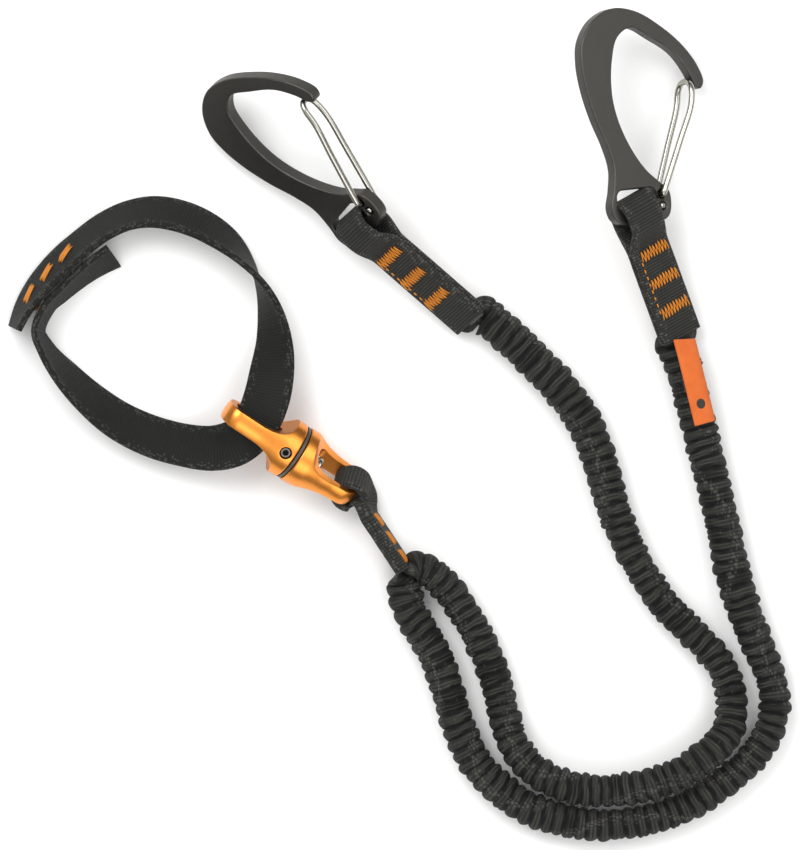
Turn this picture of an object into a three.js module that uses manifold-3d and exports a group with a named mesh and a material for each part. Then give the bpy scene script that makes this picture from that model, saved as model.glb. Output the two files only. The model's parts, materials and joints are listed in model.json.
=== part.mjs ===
// A twin-arm elastic tether: two wire-gate carabiners on elastic arms, joined at a swivel,
// with a webbing loop on the other side of the swivel. Millimetres, +Z up, lying on z = 0.
import * as THREE from 'three';
import { mergeVertices } from 'three/addons/utils/BufferGeometryUtils.js';
import Module from 'manifold-3d';

const wasm = await Module();
wasm.setup();

// ---- driving dimensions ----
const clearance = 0.3; // between pieces that touch on the real object
const benchShift = [13.1, -40.1, 0.8]; // puts the origin under the middle of the rigid pieces
const webbing = { width: 15.5, ply: 1.9 }; // flattened tubular webbing
const tack = { across: 9.4, along: 4.4, proud: 0.5, core: 0.5 }; // one bar tack

const carabiner = {
  thickness: 4.6,
  bevel: 1.0,
  // eye bar centre in the outline's own axes; the gate side is +x and the nose is +y
  bar: [-3, -1.5],
  feet: [[6.2, 5.0], [6.2, 1.2]], // holes for the two feet of the gate wire
  footHole: 3.6,
};
const gate = { wire: 2.1, pivot: [6.2, 3.1], apex: [21.9, 41.4], splay: 5.2 };
const tab = {
  lengths: { left: 47.5, right: 44 }, tacks: [-12.5, -22.9, -33.3], loopInside: 4.0, foldRise: 1.6, gather: 0.32,
};
const sleeve = { outer: 5.2, bore: 3.4, core: 3.0 };
const swivel = { collar: 10, halfGap: 0.8, ring: 9.7 };

// where each group lies: place in mm, then heading, pitch and roll in degrees
const poses = {
  leftCarabiner: { at: [-11.3, 67.8, 15.9], heading: 47.8, pitch: 0, roll: -45 },
  rightCarabiner: { at: [81.0, 70.7, 18.6], heading: 6.9, pitch: 0, roll: 30 },
  leftTab: { end: [23.9, 34.4, 7.4], roll: -45 },
  rightTab: { end: [93.3, 29.7, 7.8], roll: 30 },
  swivel: { at: [-35.4, -9.2, 13.6], heading: 57.2, pitch: 13, eyeRoll: -10, forkRoll: -38 },
  swivelTab: { end: [1.5, -48.6, 8.5], roll: 80 },
};

// hand-laid routes of the two elastic arms, from the carabiner's tab to the swivel's tab
const leftRoute = [
  [27.1, 36.3, 6.4], [33.3, 32.0, 6.3], [41.3, 24.7, 6.2], [47.7, 18.3, 6.2], [53.7, 11.7, 6.2],
  [61.0, 1.5, 6.2], [64.8, -7.0, 6.2], [67.3, -15.0, 6.2], [69.8, -24.0, 6.2], [73.3, -34.0, 6.1],
  [77.0, -42.5, 6.0], [81.5, -50.5, 6.0], [86.5, -58.0, 5.9], [92.8, -65.0, 5.9], [99.0, -71.0, 5.9],
  [105.0, -77.5, 6.0], [109.3, -85.5, 6.3], [110.8, -93.5, 7.0], [109.5, -101.0, 8.6],
  [105.3, -107.3, 10.6], [98.6, -113.0, 11.8], [90.5, -117.5, 11.6], [81.0, -120.6, 10.6],
  [70.5, -122.0, 9.6], [59.5, -121.4, 9.4], [50.0, -118.4, 9.2], [42.7, -113.3, 8.2],
  [37.8, -106.5, 7.0], [35.0, -98.5, 6.2], [33.0, -89.5, 5.9], [30.0, -79.5, 5.9],
  [25.8, -70.3, 5.9], [20.8, -61.8, 6.1], [15.3, -54.6, 6.4], [9.0, -48.4, 6.8],
];
const rightRoute = [
  [91.9, 27.2, 6.4], [93.6, 21.5, 6.3], [96.2, 12.3, 6.2], [99.0, 1.7, 6.2], [101.6, -8.3, 6.2],
  [104.6, -20.4, 6.2], [107.4, -32.8, 6.1], [110.0, -45.0, 6.0], [113.0, -56.5, 5.9],
  [116.5, -67.0, 5.8], [120.4, -76.5, 5.7], [123.8, -85.0, 5.6], [125.0, -93.5, 5.6],
  [123.3, -101.7, 5.6], [119.3, -108.8, 5.6], [113.2, -115.3, 5.6], [105.4, -121.5, 5.6],
  [96.2, -127.0, 5.6], [86.2, -131.0, 5.6], [75.5, -133.2, 5.6], [64.5, -133.6, 5.6],
  [54.0, -131.9, 5.6], [44.0, -127.9, 5.7], [35.0, -121.7, 5.8], [27.5, -114.0, 5.8],
  [22.6, -105.3, 5.8], [19.0, -96.2, 5.8], [16.2, -87.3, 5.8], [12.3, -78.4, 5.9],
  [7.8, -70.2, 6.0], [4.2, -63.6, 6.2], [2.0, -58.3, 6.5],
];

// the webbing loop: x, y, z of its middle, and the angle that its lower edge leans out, in degrees
const loopStations = [
  [-127.4, 33.6, 7.8, 24], [-124.4, 40.4, 7.8, 28], [-120.0, 46.6, 7.6, 32], [-113.2, 54.2, 7.5, 34],
  [-105.6, 60.8, 7.4, 34], [-98.4, 66.0, 7.3, 35], [-90.0, 69.7, 7.3, 37], [-80.6, 70.7, 7.2, 41],
  [-68.6, 67.7, 7.4, 40], [-58.2, 61.5, 7.9, 31], [-50.8, 53.6, 8.6, 11], [-46.0, 45.4, 9.2, -11],
  [-43.2, 36.6, 10.2, -31], [-42.0, 27.0, 11.8, -50], [-42.6, 17.6, 13.8, -72], [-44.5, 8.0, 15.9, -92],
  [-48.3, -0.6, 17.2, -102], [-54.2, -5.9, 15.6, -94], [-61.8, -7.9, 11.6, -76], [-70.6, -7.2, 8.0, -66],
  [-82.0, -4.3, 5.8, -62], [-93.4, 1.0, 5.8, -54], [-103.0, 8.2, 6.5, -43], [-111.4, 16.6, 7.2, -31],
  [-117.4, 24.2, 7.7, -18], [-120.8, 31.0, 8.0, 2],
];
const lap = { inner: [7, 12, 18, 24, 30, 36, 42], tacks: [10.4, 19.6, 28.4] }; // mm from the outer end

// ---- materials ----
const finish = (color, roughness, metalness) => new THREE.MeshStandardMaterial({ color, roughness, metalness });
const materials = {
  anodisedGrey: finish(0x45443f, 0.55, 0.9),
  anodisedOrange: finish(0xe89a3c, 0.32, 0.9),
  stainless: finish(0xc9c7c0, 0.22, 1.0),
  blackPlastic: finish(0x3a3633, 0.55, 0.0),
  bronze: finish(0xa77b43, 0.45, 1.0),
  webbingBlack: finish(0x2b2c27, 0.9, 0.0),
  threadOrange: finish(0xe8842a, 0.8, 0.0),
  labelOrange: finish(0xe9702a, 0.75, 0.0),
  latex: finish(0xc9b98f, 0.7, 0.0),
};

// ---- helpers ----
const radians = THREE.MathUtils.degToRad;
const vector = ([x, y, z]) => new THREE.Vector3(x, y, z);

function solid(geometry) {
  const bare = geometry.index ? geometry.toNonIndexed() : geometry.clone();
  bare.deleteAttribute('normal');
  bare.deleteAttribute('uv');
  const merged = mergeVertices(bare, 1e-4);
  return new wasm.Manifold(new wasm.Mesh({
    numProp: 3,
    vertProperties: new Float32Array(merged.attributes.position.array),
    triVerts: new Uint32Array(merged.index.array),
  }));
}

function geometryOf(body) {
  const mesh = body.getMesh();
  const geometry = new THREE.BufferGeometry();
  geometry.setAttribute('position', new THREE.BufferAttribute(mesh.vertProperties, 3));
  geometry.setIndex(new THREE.BufferAttribute(mesh.triVerts, 1));
  return geometry;
}

function addMesh(group, name, geometry, material) {
  const mesh = new THREE.Mesh(geometry, material);
  mesh.name = name;
  group.add(mesh);
  return mesh;
}

// heading turns about Z, then pitch lifts the +y end, then roll turns about the piece's own y
function poseMatrix({ at, heading, pitch, roll }) {
  const turn = new THREE.Euler(radians(pitch), radians(roll), radians(heading), 'ZXY');
  return new THREE.Matrix4().compose(
    vector(at), new THREE.Quaternion().setFromEuler(turn), new THREE.Vector3(1, 1, 1));
}

function poseGroup(pose) {
  const group = new THREE.Group();
  group.applyMatrix4(poseMatrix(pose));
  return group;
}

// a pose whose +y end is at `at` and whose body runs from there down to `end`
function poseToward(at, end, roll) {
  const along = vector(at).sub(vector(end));
  const flat = Math.hypot(along.x, along.y);
  return {
    at,
    heading: THREE.MathUtils.radToDeg(Math.atan2(-along.x, along.y)),
    pitch: THREE.MathUtils.radToDeg(Math.atan2(along.z, flat)),
    roll,
  };
}

// a strap: a finely divided box bent along centres, its width lying along the given directions,
// each as long as the share of the full width that the strap keeps there
function strapAlong(centres, widths, width, ply) {
  const steps = centres.length - 1;
  const geometry = new THREE.BoxGeometry(width, 1, ply, 1, steps, 1);
  const at = geometry.attributes.position;
  const frames = centres.map((centre, i) => {
    const before = centres[Math.max(i - 1, 0)];
    const after = centres[Math.min(i + 1, steps)];
    const along = after.clone().sub(before).normalize();
    const across = widths[i].clone().addScaledVector(along, -widths[i].dot(along)).normalize();
    const up = new THREE.Vector3().crossVectors(across, along);
    return { centre, across, up, share: widths[i].length() };
  });
  for (let i = 0; i < at.count; i += 1) {
    const frame = frames[Math.round((at.getY(i) + 0.5) * steps)];
    const point = frame.centre.clone()
      .addScaledVector(frame.across, at.getX(i) * frame.share)
      .addScaledVector(frame.up, at.getZ(i));
    at.setXYZ(i, point.x, point.y, point.z);
  }
  return { geometry, frames };
}

function boxAt(size, centre, matrix) {
  const geometry = new THREE.BoxGeometry(...size);
  geometry.translate(...centre);
  if (matrix) geometry.applyMatrix4(matrix);
  return geometry;
}

// a cylinder along z, at x and y, from z0 to z1
function pinAt(radius, x, y, z0, z1, sides = 24) {
  const geometry = new THREE.CylinderGeometry(radius, radius, z1 - z0, sides);
  geometry.rotateX(Math.PI / 2);
  geometry.translate(x, y, (z0 + z1) / 2);
  return geometry;
}

// a bar tack through a stack of webbing: a thread pad on each face, joined by the stitches
function bartack(stack, grow = 0) {
  const across = tack.across + 2 * grow;
  const along = tack.along + 2 * grow;
  const core = boxAt([across - tack.core * 2, along - tack.core * 2, stack + 1], [0, 0, 0]);
  if (grow) return solid(core);
  const middle = stack / 2 + clearance + tack.proud / 2;
  const pads = [-middle, middle].map((z) => solid(boxAt([across, along, tack.proud], [0, 0, z])));
  return solid(core).add(pads[0]).add(pads[1]);
}

function tackGroup(group, names, frames, stack) {
  frames.forEach((matrix, i) => {
    const mesh = addMesh(group, names[i], geometryOf(bartack(stack)), materials.threadOrange);
    mesh.applyMatrix4(matrix);
  });
}

function cutTacks(strap, frames, stack) {
  let cut = solid(strap);
  for (const matrix of frames) {
    const hole = geometryOf(bartack(stack, clearance));
    hole.applyMatrix4(matrix);
    cut = cut.subtract(solid(hole));
  }
  return geometryOf(cut);
}

// ---- carabiner ----
function carabinerOutline() {
  const round = [
    [28.0, 40.8], [26.2, 46.8], [21.2, 54.0], [14.0, 60.6], [5.0, 66.3], [-4.0, 68.0], [-12.0, 64.8],
    [-17.3, 58.0], [-18.6, 50.5], [-18.0, 42.0], [-15.7, 32.0], [-12.4, 22.5], [-10.9, 15.0],
    [-12.0, 8.0], [-13.6, 2.0], [-12.2, -2.2], [-8.0, -4.0], [4.0, -4.0], [8.2, -2.6], [9.8, 1.4],
    [9.4, 6.2], [6.6, 8.9], [1.6, 13.6], [-3.6, 22.0], [-7.0, 31.5], [-8.0, 40.0], [-6.7, 50.0],
    [-3.4, 58.2], [2.2, 61.0], [10.0, 56.8], [17.8, 51.2], [22.4, 44.6], [24.4, 40.0], [26.4, 38.6],
  ];
  const curve = new THREE.CatmullRomCurve3(round.map(([x, y]) => new THREE.Vector3(x, y, 0)), true);
  const points = curve.getSpacedPoints(80).slice(0, -1);
  return new THREE.Shape(points.map((p) => new THREE.Vector2(p.x, p.y)));
}

function eyeSlot() {
  const [left, right, low, high] = [-11.0, 4.4, 1.0, 7.6];
  const corner = 2.6;
  const slot = new THREE.Shape();
  slot.moveTo(left + 1, low);
  slot.lineTo(right - 1, low);
  slot.quadraticCurveTo(right, low, right, low + 1);
  slot.lineTo(right, high - corner);
  slot.quadraticCurveTo(right, high, right - corner, high);
  slot.lineTo(left + corner, high);
  slot.quadraticCurveTo(left, high, left, high - corner);
  slot.lineTo(left, low + 1);
  slot.quadraticCurveTo(left, low, left + 1, low);
  return slot;
}

function carabinerBody() {
  const depth = carabiner.thickness - 2 * carabiner.bevel;
  const plate = new THREE.ExtrudeGeometry(carabinerOutline(), {
    depth,
    bevelThickness: carabiner.bevel,
    bevelSize: carabiner.bevel,
    bevelOffset: -carabiner.bevel,
    bevelSegments: 2,
  });
  plate.translate(0, 0, -depth / 2);
  const slot = new THREE.ExtrudeGeometry(eyeSlot(), {
    depth: 2 * carabiner.thickness, bevelEnabled: false, curveSegments: 5,
  });
  slot.translate(0, 0, -carabiner.thickness);
  let body = solid(plate).subtract(solid(slot));
  for (const [x, y] of carabiner.feet) {
    body = body.subtract(solid(pinAt(carabiner.footHole / 2, x, y, -carabiner.thickness, carabiner.thickness, 16)));
  }
  return geometryOf(body);
}

// the gate is one wire: a foot through the body, up one side, round the nose and back
function gateWire() {
  const side = carabiner.thickness / 2 + gate.wire / 2 + clearance;
  const tip = carabiner.thickness / 2 + clearance;
  const [upper, lower] = carabiner.feet;
  const [ax, ay] = gate.apex;
  const rise = (share, foot) => [foot[0] + (ax - foot[0]) * share, foot[1] + (ay - 5 - foot[1]) * share];
  const points = [
    [...upper, -tip], [...upper, 0], [...upper, side - 1.1], [upper[0] + 0.3, upper[1] + 0.5, side - 0.2],
    [...rise(0.1, upper), side], [...rise(0.55, upper), side + 0.7], [...rise(0.9, upper), gate.splay - 0.1],
    [ax - 0.3, ay - 2.6, gate.splay - 0.6], [ax, ay - 0.5, gate.splay * 0.5], [ax, ay, 0],
    [ax, ay - 0.5, -gate.splay * 0.5], [ax - 0.3, ay - 2.6, 0.6 - gate.splay],
    [...rise(0.9, lower), 0.1 - gate.splay], [...rise(0.55, lower), -side - 0.7], [...rise(0.1, lower), -side],
    [lower[0] + 0.3, lower[1] + 0.5, 0.2 - side], [...lower, 1.1 - side], [...lower, 0], [...lower, tip],
  ];
  const path = new THREE.CatmullRomCurve3(points.map(vector), false, 'centripetal');
  const section = new THREE.Shape();
  section.absarc(0, 0, gate.wire / 2, 0, 2 * Math.PI);
  return new THREE.ExtrudeGeometry(section, { steps: 52, curveSegments: 4, extrudePath: path });
}

function addCarabiner(parent, side, pose) {
  const group = poseGroup(pose);
  addMesh(group, `${side}_carabiner_body`, carabinerBody(), materials.anodisedGrey);
  addMesh(group, `${side}_wire_gate`, gateWire(), materials.stainless);
  parent.add(group);
}

function barCentre(pose) {
  const centre = new THREE.Vector3(carabiner.bar[0], carabiner.bar[1], 0).applyMatrix4(poseMatrix(pose));
  return centre.toArray();
}

// ---- carabiner tab: webbing folded through the eye and bar-tacked to itself ----
function foldedTab(length) {
  const lay = (webbing.ply + clearance) / 2;
  const loop = tab.loopInside + webbing.ply / 2;
  const leg = [
    [-length, lay], [-30, lay], [-17, lay], [-10.2, lay], [-8.4, lay + 0.5], [-6.2, (lay + loop) / 2],
    [-3.5, loop - 0.4], [0, loop],
  ];
  const fold = [0, 30, 60, 90].map((angle) => [
    tab.foldRise + loop * Math.sin(radians(angle)), loop * Math.cos(radians(angle)),
  ]);
  const half = [...leg, ...fold];
  const back = half.slice(0, -1).reverse().map(([y, z]) => [y, -z]);
  const centres = [...half, ...back].map(([y, z]) => new THREE.Vector3(0, y, z));
  const gathered = (y) => 1 - tab.gather * THREE.MathUtils.smoothstep(y, -9, -3);
  const widths = centres.map((centre) => new THREE.Vector3(gathered(centre.y), 0, 0));
  return strapAlong(centres, widths, webbing.width, webbing.ply).geometry;
}

function addTab(parent, side, pose) {
  const stack = 2 * webbing.ply + clearance;
  const group = poseGroup(pose);
  const frames = tab.tacks.map((y) => new THREE.Matrix4().makeTranslation(0, y, 0));
  addMesh(group, `${side}_tab_webbing`, cutTacks(foldedTab(tab.lengths[side]), frames, stack), materials.webbingBlack);
  tackGroup(group, [1, 2, 3].map((n) => `${side}_tab_bartack_${n}`), frames, stack);
  parent.add(group);
}

// ---- sewn label on the right tab, lying over the sleeve ----
function addLabel(parent) {
  const route = [[94.6, 28.2, 11.8], [95.7, 23.8, 13.6], [97.6, 16.0, 14.2], [99.6, 8.0, 14.0], [101.4, 0.6, 13.6]];
  const curve = new THREE.CatmullRomCurve3(route.map(vector));
  const centres = curve.getPoints(10);
  const widths = centres.map(() => new THREE.Vector3(0.86, 0.2, -0.47));
  const strip = strapAlong(centres, widths, 7.8, 0.8).geometry;
  addMesh(parent, 'label_tag', strip, materials.labelOrange);
}

// ---- elastic arm: a gathered sleeve over a round elastic core ----
function tube(route, outer, bore, sides) {
  const path = new THREE.CatmullRomCurve3(route.map(vector), false, 'centripetal');
  const section = new THREE.Shape();
  section.absarc(0, 0, outer, 0, 2 * Math.PI);
  if (bore) {
    const hole = new THREE.Path();
    hole.absarc(0, 0, bore, 0, 2 * Math.PI, true);
    section.holes.push(hole);
  }
  return new THREE.ExtrudeGeometry(section, { steps: 40, curveSegments: sides / 2, extrudePath: path });
}

function addArm(parent, side, route) {
  addMesh(parent, `${side}_sleeve`, tube(route, sleeve.outer, sleeve.bore, 10), materials.webbingBlack);
  addMesh(parent, `${side}_elastic_core`, tube(route, sleeve.core, 0, 8), materials.latex);
}

// ---- swivel ----
// one half, standing on y = halfGap: a collar whose sides are scooped away to a bow round a slot
function swivelHalf({ reach, floor, end: slotEnd, half, corner }) {
  const r = swivel.collar;
  const end = 7.6;
  const profile = new THREE.Path();
  profile.moveTo(0, swivel.halfGap);
  profile.lineTo(r - 0.4, swivel.halfGap);
  profile.lineTo(r, swivel.halfGap + 0.4);
  profile.lineTo(r, 3.6);
  profile.quadraticCurveTo(r - 0.2, 8.5, end + 0.6, 12.5);
  profile.lineTo(end, reach - end * 0.75);
  profile.quadraticCurveTo(end * 0.98, reach, 0, reach);
  const turned = new THREE.LatheGeometry(profile.getPoints(4), 32);
  const arm = 3.1;
  const scoop = new THREE.Shape();
  scoop.moveTo(-r - 1, 0);
  scoop.lineTo(r + 1, 0);
  scoop.lineTo(r + 1, 4.2);
  scoop.quadraticCurveTo(arm + 0.6, 4.8, arm, 14.5);
  scoop.lineTo(arm, reach + 1);
  scoop.lineTo(-arm, reach + 1);
  scoop.lineTo(-arm, 14.5);
  scoop.quadraticCurveTo(-arm - 0.6, 4.8, -r - 1, 4.2);
  const plate = new THREE.ExtrudeGeometry(scoop, { depth: 2 * r + 2, bevelEnabled: false, curveSegments: 6 });
  plate.translate(0, 0, -r - 1);
  const slot = new THREE.Shape();
  slot.moveTo(-half, floor + 1);
  slot.quadraticCurveTo(-half, floor, -half + 1, floor);
  slot.lineTo(half - 1, floor);
  slot.quadraticCurveTo(half, floor, half, floor + 1);
  slot.lineTo(half, slotEnd - corner);
  slot.quadraticCurveTo(half, slotEnd, half - corner, slotEnd);
  slot.lineTo(-half + corner, slotEnd);
  slot.quadraticCurveTo(-half, slotEnd, -half, slotEnd - corner);
  const window = new THREE.ExtrudeGeometry(slot, { depth: 2 * r + 2, bevelEnabled: false, curveSegments: 5 });
  window.translate(0, 0, -r - 1);
  window.rotateY(Math.PI / 2);
  return solid(turned).intersect(solid(plate)).subtract(solid(window));
}

// a turned ring about y
function ringAbout(outer, inner, y0, y1, sides = 32) {
  const profile = [[inner, y0], [outer, y0], [outer, y1], [inner, y1], [inner, y0]];
  return new THREE.LatheGeometry(profile.map(([x, y]) => new THREE.Vector2(x, y)), sides);
}

function turnedAbout(profile, sides = 24) {
  return new THREE.LatheGeometry(profile.map(([x, y]) => new THREE.Vector2(x, y)), sides);
}

const eye = { reach: 27.6, floor: 8, end: 24.6, half: 4.9, corner: 3.9 };
const fork = { reach: 25.4, floor: 7, end: 21.4, half: 4.9, corner: 2.2, barReach: 3.85 };
const axle = { bore: 2.3, headTop: -8.4, headEnd: -10.2, head: 3.5, tip: 6.8 };
const bush = { outer: 3.1, inner: 2.3, hole: 3.4 };
const screw = { y: 4.1, radius: 1.9, hole: 2.2, tip: 2.3, top: 9.2, socket: 1.1 };

function addSwivel(parent, pose) {
  const eyeGroup = poseGroup({ ...pose, roll: pose.eyeRoll });
  const forkGroup = poseGroup({ ...pose, roll: pose.forkRoll });
  const bore = solid(turnedAbout([[0, -1], [axle.bore, -1], [axle.bore, 12], [0, 12]]));
  const screwHole = solid(pinAt(screw.hole, 0, screw.y, 1, 12, 20));
  const eyeHalf = swivelHalf(eye).subtract(bore).subtract(screwHole);
  addMesh(eyeGroup, 'swivel_eye_half', geometryOf(eyeHalf), materials.anodisedOrange);

  const shank = axle.bore - clearance;
  addMesh(eyeGroup, 'swivel_axle', turnedAbout([
    [0, axle.headEnd], [axle.head - 0.4, axle.headEnd], [axle.head, axle.headEnd + 0.4],
    [axle.head, axle.headTop], [shank, axle.headTop], [shank, axle.tip - 0.4],
    [shank - 0.4, axle.tip], [0, axle.tip],
  ]), materials.stainless);

  const plug = solid(pinAt(screw.radius, 0, screw.y, screw.tip, screw.top, 20));
  const socket = solid(pinAt(screw.socket, 0, screw.y, screw.top - 2, screw.top + 1, 6));
  addMesh(eyeGroup, 'swivel_set_screw', geometryOf(plug.subtract(socket)), materials.stainless);

  const forkBore = solid(turnedAbout([[0, -1], [bush.hole, -1], [bush.hole, 12], [0, 12]]));
  const forkHalf = swivelHalf(fork).subtract(forkBore);
  const turned = geometryOf(forkHalf);
  turned.rotateZ(Math.PI);
  addMesh(forkGroup, 'swivel_fork_half', turned, materials.anodisedOrange);
  addMesh(forkGroup, 'swivel_seal_ring', ringAbout(swivel.ring, 2.6, -0.5, 0.5), materials.blackPlastic);
  addMesh(forkGroup, 'swivel_axle_bush', ringAbout(bush.outer, bush.inner, -fork.floor, -1.1, 24), materials.bronze);
  addMesh(forkGroup, 'swivel_thrust_washer', ringAbout(3.9, bush.inner, -8.1, -7.3, 24), materials.stainless);
  parent.add(eyeGroup, forkGroup);
}

// ---- swivel tab: one strap round the fork's bar, tacked, its two ends running to the arms ----
function swivelTabPath(pose) {
  const forkMatrix = poseMatrix({ ...pose, roll: pose.forkRoll });
  const bar = new THREE.Vector3(0, -(fork.end + fork.reach) / 2, 0).applyMatrix4(forkMatrix);
  const barWay = new THREE.Vector3(0, 0, -1).transformDirection(forkMatrix);
  const end = vector(poses.swivelTab.end);
  const away = new THREE.Vector3().subVectors(end, bar).normalize();
  const first = away.clone().addScaledVector(barWay, -away.dot(barWay)).normalize();
  const tabPose = poseToward(bar.toArray(), end.toArray(), poses.swivelTab.roll);
  const tabWay = new THREE.Vector3(1, 0, 0).transformDirection(poseMatrix(tabPose));
  return { bar, barWay, end, away, first, tabWay };
}

function swivelTabStations(pose) {
  const { bar, barWay, end, away, first, tabWay } = swivelTabPath(pose);
  const length = end.distanceTo(bar);
  const straight = [0.34, 0.5, 0.67, 0.83, 1].map((share) => bar.clone().lerp(end, share));
  const spine = new THREE.CatmullRomCurve3([bar, bar.clone().addScaledVector(first, 5.0), ...straight]);
  const lay = (webbing.ply + clearance) / 2;
  const loop = fork.barReach + clearance + webbing.ply / 2;
  const shares = [1, 0.92, 0.84, 0.76, 0.68, 0.6, 0.52, 0.44, 0.37, 0.3, 0.24, 0.18, 0.12, 0.06, 0];
  const legs = shares.map((share) => {
    const point = spine.getPointAt(share);
    const way = spine.getTangentAt(share);
    const twist = THREE.MathUtils.smoothstep(share * length, 3.7, 10.4);
    const across = barWay.clone().lerp(tabWay, twist);
    across.addScaledVector(way, -across.dot(way)).normalize();
    const up = new THREE.Vector3().crossVectors(across, way);
    const open = 1 - THREE.MathUtils.smoothstep(share * length, 1.5, 9.6);
    across.multiplyScalar(THREE.MathUtils.lerp(0.5, 0.84, THREE.MathUtils.smoothstep(share * length, 4, 11)));
    return { point, across, up, offset: lay + (loop - lay) * open };
  });
  const root = legs[legs.length - 1];
  const fold = [30, 60, 90, 120, 150].map((angle) => ({
    point: root.point.clone()
      .addScaledVector(root.up, loop * Math.cos(radians(angle)))
      .addScaledVector(first, -loop * Math.sin(radians(angle))),
    across: root.across,
  }));
  const out = legs.map((s) => ({ point: s.point.clone().addScaledVector(s.up, s.offset), across: s.across }));
  const back = legs.map((s) => ({ point: s.point.clone().addScaledVector(s.up, -s.offset), across: s.across }));
  back.reverse();
  const frames = [14.0, 21.1, 28.2].map((distance) => {
    const share = distance / length;
    const way = spine.getTangentAt(share).negate();
    const across = tabWay.clone().addScaledVector(way, -tabWay.dot(way)).normalize();
    const basis = new THREE.Matrix4().makeBasis(across, way, new THREE.Vector3().crossVectors(across, way));
    return basis.setPosition(spine.getPointAt(share));
  });
  return { stations: [...out, ...fold, ...back], frames, away };
}

function addSwivelTab(parent, pose) {
  const stack = 2 * webbing.ply + clearance;
  const { stations, frames } = swivelTabStations(pose);
  const tailToLeftArm = [[7.4, -47.4, 7.4], [5.0, -48.0, 7.9], [2.6, -48.9, 8.3]].map(vector);
  const tailToRightArm = [[0.2, -52.6, 8.0], [1.3, -56.6, 7.2]].map(vector);
  const first = stations[0];
  const last = stations[stations.length - 1];
  const centres = [...tailToLeftArm, ...stations.map((s) => s.point), ...tailToRightArm];
  const widths = [
    ...tailToLeftArm.map(() => first.across), ...stations.map((s) => s.across), ...tailToRightArm.map(() => last.across),
  ];
  const strap = strapAlong(centres, widths, webbing.width, webbing.ply).geometry;
  addMesh(parent, 'swivel_tab_webbing', cutTacks(strap, frames, stack), materials.webbingBlack);
  tackGroup(parent, [1, 2, 3].map((n) => `swivel_tab_bartack_${n}`), frames, stack);
}

// ---- webbing loop, lapped and bar-tacked to itself ----
// the way from the strap's upper edge to its lower edge
function leanWay(way, degrees) {
  const outward = new THREE.Vector3(-way.y, way.x, 0).normalize();
  const angle = radians(degrees);
  return outward.multiplyScalar(Math.sin(angle)).add(new THREE.Vector3(0, 0, -Math.cos(angle)));
}

function loopCurves(stations) {
  return {
    middle: new THREE.CatmullRomCurve3(stations.map(([x, y, z]) => new THREE.Vector3(x, y, z))),
    lean: new THREE.CatmullRomCurve3(stations.map((s) => new THREE.Vector3(s[3], 0, 0))),
  };
}

function frameOnLoop({ middle, lean }, share) {
  const way = middle.getTangentAt(share);
  const degrees = lean.getPoint(middle.getUtoTmapping(share)).x;
  return { point: middle.getPointAt(share), way, degrees, across: leanWay(way, degrees) };
}

// the strap's inner end goes round again inside its outer end
function lappedStations() {
  const curves = loopCurves(loopStations);
  const length = curves.middle.getLength();
  const inner = lap.inner.map((distance) => {
    const { point, way, degrees, across } = frameOnLoop(curves, distance / length);
    const inward = new THREE.Vector3().crossVectors(across, way).normalize();
    point.addScaledVector(inward, webbing.ply + clearance);
    return [point.x, point.y, point.z, degrees];
  });
  return [...loopStations, ...inner];
}

function addLoop(parent) {
  const stack = 2 * webbing.ply + clearance;
  const steps = 96;
  const curves = loopCurves(lappedStations());
  const length = curves.middle.getLength();
  const places = Array.from({ length: steps + 1 }, (_, i) => frameOnLoop(curves, i / steps));
  const strap = strapAlong(places.map((p) => p.point), places.map((p) => p.across), webbing.width, webbing.ply);
  const tackFrames = lap.tacks.map((distance) => {
    const { point, way, across } = frameOnLoop(curves, distance / length);
    const up = new THREE.Vector3().crossVectors(across, way).normalize();
    const along = new THREE.Vector3().crossVectors(up, across);
    point.addScaledVector(up, (webbing.ply + clearance) / 2);
    return new THREE.Matrix4().makeBasis(across, along, up).setPosition(point);
  });
  const cut = cutTacks(strap.geometry, tackFrames, stack);
  addMesh(parent, 'harness_loop_webbing', cut, materials.webbingBlack);
  tackGroup(parent, [1, 2, 3].map((n) => `harness_loop_bartack_${n}`), tackFrames, stack);
}

// ---- assembly ----
function buildTether() {
  const tether = new THREE.Group();
  for (const side of ['left', 'right']) {
    const carabinerPose = poses[`${side}Carabiner`];
    const tabPose = poses[`${side}Tab`];
    addCarabiner(tether, side, carabinerPose);
    addTab(tether, side, poseToward(barCentre(carabinerPose), tabPose.end, tabPose.roll));
  }
  addLabel(tether);
  addArm(tether, 'left', leftRoute);
  addArm(tether, 'right', rightRoute);
  addSwivel(tether, poses.swivel);
  addSwivelTab(tether, poses.swivel);
  addLoop(tether);
  tether.position.set(...benchShift);
  return tether;
}

const tether = buildTether();
export default tether;
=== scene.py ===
# The looks of a twin-arm elastic tool leash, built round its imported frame. Metres, +Z up.
import json
import math
import random

import bmesh
import bpy
import numpy as np
from mathutils import Matrix, Vector


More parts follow.
